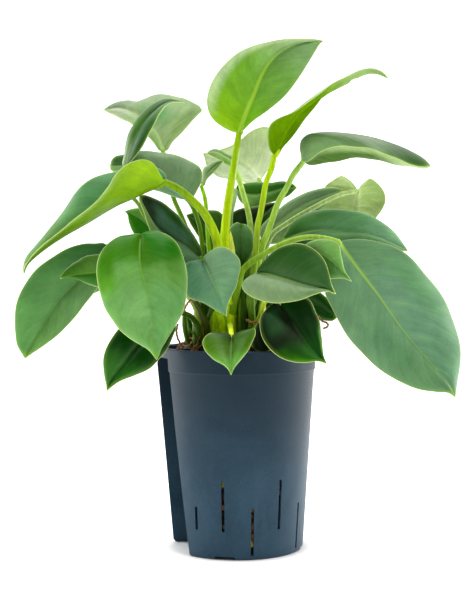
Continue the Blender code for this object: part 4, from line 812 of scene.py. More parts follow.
def paint(c):
    """The base colour that shows as c (0-255) under this studio's light, sheen included."""
    lin = np.array(srgb(c)[:3])
    return tuple(np.clip((lin - HAZE) / GAIN, 0.0015, 0.95)) + (1.0,)


HAZE, GAIN = 0.012, 1.0
EYE_ROW = 262.1


class Nodes:
    """A small hand for wiring shader nodes."""

    def __init__(self, name):
        self.mat = bpy.data.materials.new(name)
        self.mat.use_nodes = True
        self.tree = self.mat.node_tree
        self.shader = self.tree.nodes["Principled BSDF"]

    def new(self, kind, **props):
        node = self.tree.nodes.new(kind)
        for key, value in props.items():
            setattr(node, key, value)
        return node

    def link(self, source, socket):
        self.tree.links.new(source, socket)

    def put(self, socket, value):
        if isinstance(value, bpy.types.NodeSocket):
            self.link(value, socket)
        else:
            socket.default_value = value

    def math(self, op, a, b=0.0, c=0.0, clamp=False):
        node = self.new("ShaderNodeMath", operation=op, use_clamp=clamp)
        for socket, value in zip(node.inputs, (a, b, c)):
            self.put(socket, value)
        return node.outputs[0]

    def attribute(self, name):
        return self.new("ShaderNodeAttribute", attribute_name=name).outputs["Fac"]

    def ramp(self, value, low, high, to_low=0.0, to_high=1.0, kind="SMOOTHSTEP"):
        node = self.new("ShaderNodeMapRange", interpolation_type=kind)
        for key, v in (("Value", value), ("From Min", low), ("From Max", high), ("To Min", to_low), ("To Max", to_high)):
            self.put(node.inputs[key], v)
        return node.outputs["Result"]

    def mix(self, fac, a, b, blend="MIX"):
        node = self.new("ShaderNodeMix", data_type="RGBA", blend_type=blend)
        self.put(node.inputs["Factor"], fac)
        self.put(node.inputs[6], a)
        self.put(node.inputs[7], b)
        return node.outputs[2]

    def noise(self, scale, detail=3.0, rough=0.5, vector=None, distortion=0.0):
        node = self.new("ShaderNodeTexNoise")
        node.inputs["Scale"].default_value = scale
        node.inputs["Detail"].default_value = detail
        node.inputs["Roughness"].default_value = rough
        node.inputs["Distortion"].default_value = distortion
        self.link(vector or self.coords(), node.inputs["Vector"])
        return node.outputs["Fac"]

    def coords(self, scale=None):
        if not hasattr(self, "_coords"):
            self._coords = self.new("ShaderNodeTexCoord").outputs["Object"]
        if scale is None:
            return self._coords
        node = self.new("ShaderNodeMapping")
        node.inputs["Scale"].default_value = scale
        self.link(self._coords, node.inputs["Vector"])
        return node.outputs["Vector"]

    def bump(self, height, strength, distance, normal=None):
        node = self.new("ShaderNodeBump")
        node.inputs["Strength"].default_value = strength
        node.inputs["Distance"].default_value = distance
        self.link(height, node.inputs["Height"])
        if normal:
            self.link(normal, node.inputs["Normal"])
        return node.outputs["Normal"]


def stops(m, value, colours, places=(0.14, 0.5, 0.86)):
    node = m.new("ShaderNodeValToRGB")
    ramp = node.color_ramp
    ramp.interpolation = "EASE"
    ramp.elements[0].position, ramp.elements[1].position = places[0], places[2]
    ramp.elements[0].color, ramp.elements[1].color = paint(colours[0]), paint(colours[2])
    ramp.elements.new(places[1]).color = paint(colours[1])
    m.link(value, node.inputs["Fac"])
    return node.outputs["Color"]


def leaf_material(name, one, other, vein, rib, rough, seed, margin=(196, 214, 138), rim=0.8, under=False, places=(0.14, 0.5, 0.86), veiny=0.06, gloss=0.36, sheen_shade_and_tint_bands=()):
    """A leaf face. one and other: colours at three places along each half. rib: midrib width in mm, and how clear it is at the stalk and at the tip."""
    m = Nodes(name)
    t, s, from_rib, edge = (m.attribute(k) for k in ("along", "across", "rib", "edge"))
    a = m.math("ABSOLUTE", s)
    cloud = m.noise(22.0, 3.0, 0.55, distortion=0.5)
    patch = m.noise(48.0, 4.0, 0.6, distortion=0.3)
    grain = m.noise(520.0, 2.0, 0.6)
    drift = m.math("ADD", t, m.math("MULTIPLY", m.math("SUBTRACT", cloud, 0.5), 0.34))
    colour = m.mix(m.ramp(s, -0.05, 0.05), stops(m, drift, one, places), stops(m, drift, other, places))
    # Bands laid over the colour: mostly painted sheen, painted reflection and painted shade, a few the leaf's own tint.
    for half, a0, a1, t0, t1, tint, strength in sheen_shade_and_tint_bands:
        mask = m.math("MULTIPLY", m.ramp(a, a0 - 0.14, a0 + 0.14), m.ramp(a, a1 - 0.14, a1 + 0.14, 1.0, 0.0))
        mask = m.math("MULTIPLY", mask, m.math("MULTIPLY", m.ramp(drift, t0 - 0.08, t0 + 0.08), m.ramp(drift, t1 - 0.08, t1 + 0.08, 1.0, 0.0)))
        if half:
            mask = m.math("MULTIPLY", mask, m.ramp(m.math("MULTIPLY", s, float(half)), 0.0, 0.05))
        colour = m.mix(m.math("MULTIPLY", mask, strength), colour, paint(tint))
    # brush-like streaks that run out along the side veins
    bend = m.math("MULTIPLY", m.math("POWER", a, 1.15), 0.20)
    order = m.math("SUBTRACT", m.math("POWER", t, 0.9), bend)
    phase = m.math("MULTIPLY", order, float(LATERALS))
    flow = m.new("ShaderNodeCombineXYZ")
    m.link(m.math("ADD", m.math("MULTIPLY", order, 22.0), m.math("MULTIPLY", cloud, 2.2)), flow.inputs[0])
    m.link(m.math("MULTIPLY", s, 1.6), flow.inputs[1])
    flow.inputs[2].default_value = seed * 3.7
    streak = m.noise(1.0, 4.0, 0.6, flow.outputs[0], 0.3)
    tone = m.math("MULTIPLY", m.ramp(streak, 0.28, 0.72, 0.90, 1.10), m.ramp(grain, 0.25, 0.75, 0.95, 1.05))
    tone = m.math("MULTIPLY", tone, m.ramp(patch, 0.3, 0.7, 0.90, 1.10))
    shade = m.new("ShaderNodeCombineColor")
    for k in range(3):
        m.link(tone, shade.inputs[k])
    colour = m.mix(1.0, colour, shade.outputs[0], "MULTIPLY")
    colour = m.mix(m.ramp(patch, 0.52, 0.78, 0.0, 0.35), colour, m.mix(1.0, colour, (1.18, 1.06, 0.55, 1), "MULTIPLY"))
    wave = m.math("ABSOLUTE", m.math("SUBTRACT", m.math("FRACT", phase), 0.5))
    lateral = m.ramp(wave, 0.0, 0.10, 1.0, 0.0)
    fine = m.math("ABSOLUTE", m.math("SUBTRACT", m.math("FRACT", m.math("MULTIPLY", phase, 5.0)), 0.5))
    finer = m.ramp(fine, 0.0, 0.3, 1.0, 0.0)
    fade = m.math("MULTIPLY", m.ramp(edge, 0.5, 9.0), m.ramp(t, 0.01, 0.12))
    fade = m.math("MULTIPLY", fade, m.ramp(streak, 0.35, 0.6, 0.35, 1.0))
    lines = m.math("MULTIPLY", m.math("ADD", m.math("MULTIPLY", lateral, veiny), m.math("MULTIPLY", finer, veiny * 0.35)), fade)
    colour = m.mix(lines, colour, paint(vein))
    width, clear, clear_tip = rib
    reach = m.ramp(t, 0.0, 0.97, width, 0.25, "LINEAR")
    mid = m.ramp(m.math("DIVIDE", from_rib, reach), 0.35, 1.25, 1.0, 0.0)
    colour = m.mix(m.math("MULTIPLY", mid, m.ramp(t, 0.05, 0.9, clear, clear_tip)), colour, paint(vein))
    # a pale margin, partly the blade's own cartilage-like edge and partly a painted highlight where light catches the
    # edge, and a yellower tip
    colour = m.mix(m.ramp(edge, 0.8, 4.0, 0.16, 0.0), colour, paint((140, 180, 60)))
    colour = m.mix(m.ramp(t, 0.93, 1.0, 0.0, 0.5), colour, paint((130, 170, 40)))
    colour = m.mix(m.ramp(edge, 0.3, 0.72, rim, 0.0), colour, paint(margin))
    m.link(colour, m.shader.inputs["Base Color"])
    m.link(m.math("ADD", m.ramp(cloud, 0.3, 0.7, rough - 0.05, rough + 0.07), m.math("MULTIPLY", grain, 0.05)), m.shader.inputs["Roughness"])
    m.shader.inputs["Specular IOR Level"].default_value = gloss
    m.shader.inputs["Specular Tint"].default_value = (0.56, 0.85, 0.44, 1)
    m.shader.inputs["Coat Weight"].default_value = 0.0 if under else 0.02
    m.shader.inputs["Coat Roughness"].default_value = 0.25
    height = m.math("ADD", m.math("MULTIPLY", m.math("MULTIPLY", lateral, fade), -0.22 if not under else 0.3), m.math("MULTIPLY", grain, 0.12))
    height = m.math("ADD", height, m.math("ADD", m.math("MULTIPLY", streak, 0.5), m.math("MULTIPLY", patch, 0.6)))
    m.link(m.bump(height, 0.26, 0.0005), m.shader.inputs["Normal"])
    return m.mat


def stalk_material(name, near, far, rough=0.34):
    """near: the colour at the blade, far: at the foot."""
    m = Nodes(name)
    f = m.attribute("along")
    colour = m.mix(m.ramp(f, 0.05, 0.95), paint(near), paint(far))
    streak = m.noise(60.0, 3.0, 0.6, m.coords((6.0, 6.0, 0.35)))
    speck = m.noise(330.0, 2.0, 0.6)
    tone = m.math("MULTIPLY", m.ramp(streak, 0.3, 0.7, 0.80, 1.16), m.ramp(speck, 0.3, 0.7, 0.95, 1.05))
    shade = m.new("ShaderNodeCombineColor")
    for k in range(3):
        m.link(tone, shade.inputs[k])
    colour = m.mix(1.0, colour, shade.outputs[0], "MULTIPLY")
    m.link(colour, m.shader.inputs["Base Color"])
    m.link(m.ramp(streak, 0.3, 0.7, rough - 0.05, rough + 0.1), m.shader.inputs["Roughness"])
    m.shader.inputs["Specular Tint"].default_value = (0.6, 0.9, 0.2, 1)
    m.shader.inputs["Subsurface Weight"].default_value = 0.12
    m.shader.inputs["Subsurface Radius"].default_value = (0.6, 1.0, 0.15)
    m.shader.inputs["Subsurface Scale"].default_value = 0.002
    m.link(m.bump(m.math("ADD", streak, m.math("MULTIPLY", speck, 0.3)), 0.3, 0.0005), m.shader.inputs["Normal"])
    return m.mat


def pot_material():
    """Moulded slate-blue plastic: fine sand-blasted grain, faint clouding, a little pale bloom in streaks, and painted
    shade that darkens it towards the top, the shade under the leaves.
    """
    m = Nodes("slate_plastic_moulded")
    cloud = m.noise(14.0, 5.0, 0.6, distortion=0.6)
    grain = m.noise(900.0, 3.0, 0.7)
    flow = m.noise(30.0, 4.0, 0.65, m.coords((3.0, 3.0, 0.5)))
    base = m.mix(m.ramp(cloud, 0.32, 0.68), srgb((32, 54, 68)), srgb((44, 68, 84)))
    base = m.mix(m.math("MULTIPLY", m.ramp(grain, 0.45, 0.75), 0.45), base, srgb((62, 88, 106)))
    base = m.mix(m.math("MULTIPLY", m.ramp(flow, 0.52, 0.8), 0.12), base, srgb((84, 98, 110)))
    # painted shade: the colour darkens towards the top of the pot, standing in for the shade the leaves cast on it
    height = m.new("ShaderNodeSeparateXYZ")
    m.link(m.coords(), height.inputs[0])
    base = m.mix(m.ramp(height.outputs["Z"], 0.05, 0.16, 0.0, 0.75), base, srgb((16, 26, 32)))
    m.link(base, m.shader.inputs["Base Color"])
    m.link(m.ramp(grain, 0.3, 0.7, 0.40, 0.56), m.shader.inputs["Roughness"])
    m.shader.inputs["Specular IOR Level"].default_value = 0.5
    m.shader.inputs["Specular Tint"].default_value = (0.20, 0.26, 0.32, 1)
    m.link(m.bump(m.math("ADD", grain, m.math("MULTIPLY", cloud, 0.4)), 0.35, 0.00025), m.shader.inputs["Normal"])
    return m.mat


def clay_material(name="expanded_clay"):
    """Fired clay balls, each with its own tone, and damp dark earth between them."""
    m = Nodes(name)
    tone = m.attribute("tone")
    cloud = m.noise(70.0, 4.0, 0.6)
    pit = m.new("ShaderNodeTexVoronoi")
    pit.inputs["Scale"].default_value = 900.0
    m.link(m.coords(), pit.inputs["Vector"])
    base = m.mix(m.ramp(tone, 0.35, 0.6), srgb((16, 9, 6)), srgb((84, 46, 26)))
    base = m.mix(m.ramp(tone, 0.62, 0.85), base, srgb((158, 104, 60)))
    base = m.mix(m.ramp(tone, 0.965, 0.98), base, srgb((196, 190, 96)))
    base = m.mix(m.ramp(cloud, 0.42, 0.62, 0.75, 0.0), base, srgb((22, 12, 8)))
    m.link(base, m.shader.inputs["Base Color"])
    m.link(m.ramp(cloud, 0.3, 0.7, 0.85, 0.97), m.shader.inputs["Roughness"])
    m.shader.inputs["Specular IOR Level"].default_value = 0.25
    m.link(m.bump(m.math("ADD", pit.outputs["Distance"], m.noise(500.0, 3.0)), 0.7, 0.0006), m.shader.inputs["Normal"])
    return m.mat


def root_material():
    m = Nodes("aerial_root_bark")
    bark = m.noise(500.0, 3.0, 0.7)
    m.link(m.mix(m.ramp(bark, 0.3, 0.7), srgb((80, 52, 20)), srgb((176, 126, 60))), m.shader.inputs["Base Color"])
    m.link(m.ramp(m.noise(300.0, 3.0), 0.3, 0.7, 0.75, 0.95), m.shader.inputs["Roughness"])
    m.link(m.bump(bark, 0.6, 0.0004), m.shader.inputs["Normal"])
    return m.mat


# ---------------------------------------------------------------- tubes, stems and roots
def ring_tube(path, radius, sides, lump=0.0, seed=0.0):
    """A closed tube as verts and faces; radius may vary along it, and lump roughens it."""
    path = np.asarray(path, float)
    count = len(path)
    tangent = np.gradient(path, axis=0)
    tangent /= np.linalg.norm(tangent, axis=1, keepdims=True)
    reference = np.array([0.0, 1.0, 0.1])
    side = np.cross(tangent, reference)
    side /= np.linalg.norm(side, axis=1, keepdims=True) + 1e-9
    other = np.cross(tangent, side)
    verts, faces = [], []
    for i in range(count):
        for k in range(sides):
            b = 2 * math.pi * k / sides
            r = radius[i] * (1 + lump * (math.sin(3 * b + seed + 0.21 * i) * 0.5 + math.sin(1.3 * i + 2 * b + seed) * 0.5))
            verts.append(path[i] + side[i] * math.cos(b) * r + other[i] * math.sin(b) * r)
    for i in range(count - 1):
        for k in range(sides):
            k2 = (k + 1) % sides
            faces.append([i * sides + k, i * sides + k2, (i + 1) * sides + k2, (i + 1) * sides + k])
    faces.append([k for k in range(sides)][::-1])
    faces.append([(count - 1) * sides + k for k in range(sides)])
    return np.array(verts), faces


def join(parts):
    verts, faces, slots = [], [], []
    base = 0
    for v, f, slot in parts:
        verts.append(v)
        faces += [[base + i for i in face] for face in f]
        slots += [slot] * len(f)
        base += len(v)
    return np.vstack(verts), faces, slots


def show(ob, node):
    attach(ob, "root")
    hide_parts(node)


# ---------------------------------------------------------------- the pot and its substrate
def baked_mesh(ob):
    """The object's evaluated mesh on a new object, with the old one and its modifiers gone."""
    bpy.context.view_layer.update()
    mesh = bpy.data.meshes.new_from_object(ob.evaluated_get(bpy.context.evaluated_depsgraph_get()))
    name = ob.name
    ob.name = name + "_old"
    bpy.data.objects.remove(ob, do_unlink=True)
    made = bpy.data.objects.new(name, mesh)
    bpy.context.scene.collection.objects.link(made)
    return made


def make_pot():
    home = collection("scene_parts")
    cut = collection("scene_cutters")
    pot = build_pot(home, cut, pot_material())
    pot.name = "culture_pot"
    pot = baked_mesh(pot)
    bm = bmesh.new()
    bm.from_mesh(pot.data)
    bmesh.ops.remove_doubles(bm, verts=bm.verts[:], dist=0.00002)
    bmesh.ops.dissolve_degenerate(bm, dist=0.00001, edges=bm.edges[:])
    bm.to_mesh(pot.data)
    bm.free()
    pot.data.shade_smooth()
    pot.data.set_sharp_from_angle(angle=math.radians(28))
    for ob in list(cut.objects):
        bpy.data.objects.remove(ob, do_unlink=True)
    show(pot, "pot")


def pebble(rng, centre, size):
    """A fired clay ball: a slightly squashed, lumpy icosphere."""
    bm = bmesh.new()
    bmesh.ops.create_icosphere(bm, subdivisions=2, radius=1.0)
    squash = 1 + rng.uniform(-0.16, 0.16, 3)
    spin = rng.uniform(0, 6.28, 3)
    verts = []
    for v in bm.verts:
        c = np.array(v.co)
        r = 1 + 0.07 * math.sin(3.1 * c[0] + spin[0]) + 0.06 * math.sin(4.3 * c[1] + spin[1]) + 0.05 * math.sin(5.7 * c[2] + spin[2])
        verts.append(centre + c * squash * r * size)
    bm.verts.index_update()
    faces = [[v.index for v in f.verts] for f in bm.faces]
    bm.free()
    return np.array(verts), faces


def make_substrate():
    rng = np.random.default_rng(15)
    parts = []
    # the body of the fill, below the top pebbles and behind the slots
    rings = [(FLOOR + 0.5, 0.2), (20, 0.0), (60, 0.0), (100, 0.0), (140, 0.0), (163, 0.0), (170, 4.0), (171.5, 30.0)]
    verts, faces = [], []
    steps = 96
    for z, back in rings:
        for k in range(steps):
            a = 2 * math.pi * k / steps
            verts.append(soil_point(a, z, 2.2 + back))
    for i in range(len(rings) - 1):
        for k in range(steps):
            k2 = (k + 1) % steps
            faces.append([i * steps + k, i * steps + k2, (i + 1) * steps + k2, (i + 1) * steps + k])
    faces.append([k for k in range(steps)][::-1])
    faces.append([(len(rings) - 1) * steps + k for k in range(steps)])
    parts.append((np.array(verts), faces, 0))
    tones = [np.full(len(verts), 0.1)]
    stems = [place(smooth(points, 9))[0] for _, points, _, _ in STEMS]
    placed = []
    for layer, (z, tries) in enumerate(((172.0, 900), (177.0, 900), (183.0, 900), (187.0, 700))):
        for _ in range(tries):
            a, r = rng.uniform(0, 2 * math.pi), (68, 65, 62, 57)[layer] * math.sqrt(rng.uniform(0, 1))
            size = rng.uniform(3.2, 6.0)
            c = np.array([r * math.cos(a), r * math.sin(a), z + rng.uniform(-1.5, 1.0) + 1.5 * (1 - r / 68)])
            wall = np.linalg.norm(soil_point(a, c[2], 0)[:2])
            if r + size > wall - 0.6:
                continue
            if any(np.hypot(*(c[:2] - s[:2])) < size + (10.5, 8.5, 6.5, 6.0)[layer] for s in stems):
                continue
            if any(np.linalg.norm(c - p) < (size + q) * 0.86 for p, q in placed):
                continue
            placed.append((c, size))
    for k in range(15):
        az = SLOT_FIRST + k * SLOT_STEP
        if 248 < az % 360 < 323:
            continue
        a = math.radians(az - 90)
        low, high = (26, 72) if k % 2 else (4, 47)
        z = low + 4
        while z < high + 3:
            size = rng.uniform(3.0, 5.2)
            out = soil_point(a + rng.uniform(-0.035, 0.035), z, size + 0.6)
            placed.append((out, size))
            z += size * 1.25
    for c, size in placed:
        v, f = pebble(rng, c, size)
        parts.append((v, f, 0))
        tones.append(np.full(len(v), rng.uniform(0.2, 1.0)))
    # fine roots that run over the fill
    for k in range(26):
        a = rng.uniform(0, 2 * math.pi)
        r0, r1 = rng.uniform(16, 28), rng.uniform(38, 60)
        pts = []
        for f in np.linspace(0, 1, 9):
            r = r0 + (r1 - r0) * f
            aa = a + 0.35 * math.sin(3 * f + k)
            pts.append([r * math.cos(aa), r * math.sin(aa), 187.0 + 1.2 * math.sin(7 * f + k) - 8.0 * f])
        if any(np.hypot(p[0] - s[0], p[1] - s[1]) < 11 for p in pts for s in stems):
            continue
        if any(np.hypot(p[0], p[1]) > np.linalg.norm(soil_point(math.atan2(p[1], p[0]), 175, 0)[:2]) - 2 for p in pts):
            continue
        v, f = ring_tube(smooth(pts, 20), np.linspace(0.7, 0.3, 20), 6, 0.1, k)
        parts.append((v, f, 1))
        tones.append(np.full(len(v), 0.5))
    v, f, slots = join(parts)
    ob = piece("clay_substrate", v, f, slots, {"tone": np.concatenate(tones)}, [clay_material(), root_material()])
    show(ob, "substrate")


def soil_point(a, z, back):
    """On the fill's side at angle a and height z, moved in by back; the gauge channel's wall bounds it too."""
    r = (body_r(min(z, BAND_LOW - 1)) - WALL - GAP) - back
    d = np.array([math.cos(CHANNEL_AZ), math.sin(CHANNEL_AZ)])
    t = np.array([-d[1], d[0]])
    way = np.array([math.cos(a), math.sin(a)])
    f = z / POT_HEIGHT
    inner = 40.0 + 9.0 * f - WALL - GAP - 0.3 - back
    rear, front = -26.4 - 0.6 * f - WALL - GAP - 0.3 - back, 34.0 - 12.0 * f + WALL + GAP + 0.3 + back
    toward, across = way @ d, way @ t
    if toward > 1e-6:
        # along this direction the channel block is entered where both its inner wall and its sides are passed
        enter = inner / toward
        if across > 1e-6:
            leave = front / across
        elif across < -1e-6:
            leave = rear / across
        else:
            leave = 1e9
        if enter < leave and enter < r:
            r = enter
    return np.array([way[0] * r, way[1] * r, z])


# points with depths, radius in mm, skin (0 lime, 1 green, 2 dark, 3 pale)
CROWN = [
    ([(216, 353, -2), (214.5, 336, -5), (215, 320, -7), (219, 302, -7)], 7.0, 0),
    ([(207, 353, 0), (207, 336, -2), (207.5, 320, -4), (210, 300, -4)], 4.6, 2),
    ([(244.5, 353, -2), (243.8, 330, -5), (243.4, 308, -6), (243.6, 282, -4)], 5.6, 2),
    ([(240, 353, -6), (239.6, 330, -8), (239.8, 312, -9), (240.6, 296, -8)], 2.2, 1),
    ([(253.5, 352, -4), (253.2, 332, -8), (252.8, 315, -9), (252.4, 298, -7)], 3.5, 1),
    ([(262, 350, -2), (262, 330, -5), (262, 314, -6), (263, 296, -4)], 4.4, 0),
    ([(258, 352, 8), (257.6, 330, 8), (257.6, 310, 9), (258, 292, 9)], 5.4, 2),
    ([(269, 352, 6), (269.5, 332, 6), (270, 314, 7), (271, 300, 8)], 5.0, 2),
    ([(196.5, 352, -4), (195.4, 338, -8), (195.4, 322, -10), (197.6, 302, -9)], 2.8, 3),
    ([(200.6, 352, 2), (200.6, 338, 0), (201, 322, -1), (203, 304, -2)], 3.6, 2),
    ([(190.6, 352, -6), (187.4, 340, -10), (184.6, 326, -12), (184.4, 308, -12)], 2.5, 1),
    ([(193, 353, 6), (190.6, 340, 4), (190.4, 328, 4), (187, 316, 4)], 3.4, 2),
    ([(204, 345, -12), (197, 338, -14), (191, 331, -15), (187.6, 327, -15)], 1.3, 1),
    ([(226, 353, 14), (225, 330, 14), (224, 310, 14), (224, 290, 14)], 6.0, 2),
    ([(214, 353, 12), (213.4, 330, 12), (213, 315, 12), (213, 300, 12)], 5.0, 2),
    ([(200, 345, 22), (198, 300, 30), (194, 262, 36), (190.5, 236, 38), (187, 226, 39)], 4.6, 2),
    ([(208, 345, 22), (207.4, 300, 30), (207, 262, 34), (206, 236, 35)], 4.6, 2),
    ([(256, 345, 22), (259, 300, 30), (263, 262, 34), (268, 236, 36)], 5.6, 2),
    ([(264, 345, 22), (268, 300, 30), (273, 262, 34), (280, 238, 36)], 4.2, 2),
    ([(236.6, 350, 16), (236.8, 320, 18), (237, 290, 20)], 4.8, 2),
    ([(250, 350, 16), (250, 320, 18), (250, 285, 20)], 5.6, 2),
    ([(177, 349, -16), (182, 343, -18), (187, 344.5, -18), (193, 351, -14)], 0.9, 4),
    ([(183, 350, -24), (188, 346, -26), (192, 348, -26), (199, 343, -22)], 0.8, 4),
    ([(180, 349, 4), (186, 341, 0), (191, 338, -2), (196, 343, -4), (200, 351, -6)], 0.9, 4),
    ([(195, 351, -10), (198, 342, -14), (201, 333, -16), (201.5, 322, -16)], 0.8, 4),
    ([(188, 350, 10), (190, 342, 8), (187.6, 335, 6), (183, 331, 4)], 0.7, 4),
    ([(196, 350, -22), (203, 345, -24), (209, 347, -24), (214, 351, -20)], 0.8, 4),
]


def make_stems():
    # the lime skin is painted brighter than the stem shows: painted light that makes up for the shade the leaves cast
    # on it
    lime = stalk_material("stem_lime_skin", (222, 252, 2), (208, 242, 4), 0.42)
    dark = stalk_material("stem_green_skin", (34, 58, 4), (44, 66, 8), 0.45)
    olive = stalk_material("stem_olive_skin", (60, 84, 10), (46, 56, 14), 0.45)
    for (name, points, low, high), mat in zip(STEMS, (lime, dark, olive)):
        count = 60
        path = place(smooth(points, count))
        f = np.linspace(0, 1, count)
        radius = low + (high - low) * f
        # leaf scars: low rings around the stem
        for k in range(7):
            radius = radius + 0.35 * np.exp(-((f - (0.12 + 0.13 * k)) / 0.008) ** 2) - 0.25 * np.exp(-((f - (0.14 + 0.13 * k)) / 0.01) ** 2)
        radius = radius - 0.5
        path = np.vstack([path, path[-1] + (path[-1] - path[-2]) * 0.4])
        radius = np.append(radius, radius[-1] * 0.55)
        v, faces = ring_tube(path, radius, 32, 0.02, len(name))
        t = np.repeat(np.linspace(1, 0, count + 1), 32)
        ob = piece(name + "_fine", v, faces, None, {"along": t}, [mat])
        show(ob, name)
    count = 40
    path = place(smooth(NEW_LEAF, count))
    f = np.linspace(0, 1, count)
    radius = np.interp(f, [0, 0.4, 0.8, 0.97, 1], [3.1, 2.9, 1.7, 0.5, 0.15])
    v, faces = ring_tube(path, radius, 24, 0.03, 1.0)
    ob = piece("rolled_new_leaf", v, faces, None, {"along": np.repeat(1 - f, 24)}, [stalk_material("new_leaf_skin", (250, 255, 96), (252, 255, 112), 0.3)])
    show(ob, "new_leaf")
    # bases of shed and hidden stalks that crowd the crown
    verts, faces, slots, along = [], [], [], []
    skins = [stalk_material("crown_" + label, near, far, 0.5) for label, near, far in (
        ("lime", (156, 196, 6), (146, 186, 4)), ("green", (84, 120, 22), (60, 88, 12)), ("dark", (54, 84, 6), (26, 46, 4)), ("pale", (176, 198, 120), (96, 128, 50)))] + [root_material()]
    parts = []
    for points, radius, skin in CROWN:
        path = place(smooth(points, 30))
        f = np.linspace(0, 1, 30)
        v, quads = ring_tube(path, radius * (1 - 0.12 * f) * np.sqrt(np.clip(1.02 - f**6, 0.01, 1)), 20, 0.03, radius)
        parts.append((v, quads, skin))
        along.append(np.repeat(1 - f, 20))
    v, quads, slots = join(parts)
    ob = piece("crown_stalk_bases", v, quads, slots, {"along": np.concatenate(along)}, skins)
    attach(ob, "root")
    bark = root_material()
    for k, (name, points, thick) in enumerate(ROOTS):
        path = place(smooth(points, 40))
        wobble = np.column_stack([0.25 * np.sin(np.arange(40) * 0.9 + k), 0.25 * np.cos(np.arange(40) * 0.7), 0.2 * np.sin(np.arange(40) * 1.3)])
        v, faces = ring_tube(path + wobble * thick, np.full(40, thick * 1.2) * np.concatenate([[0.5], np.ones(38), [0.5]]), 12, 0.10, k)
        ob = piece(name + "_fine", v, faces, None, None, [bark])
        show(ob, name)
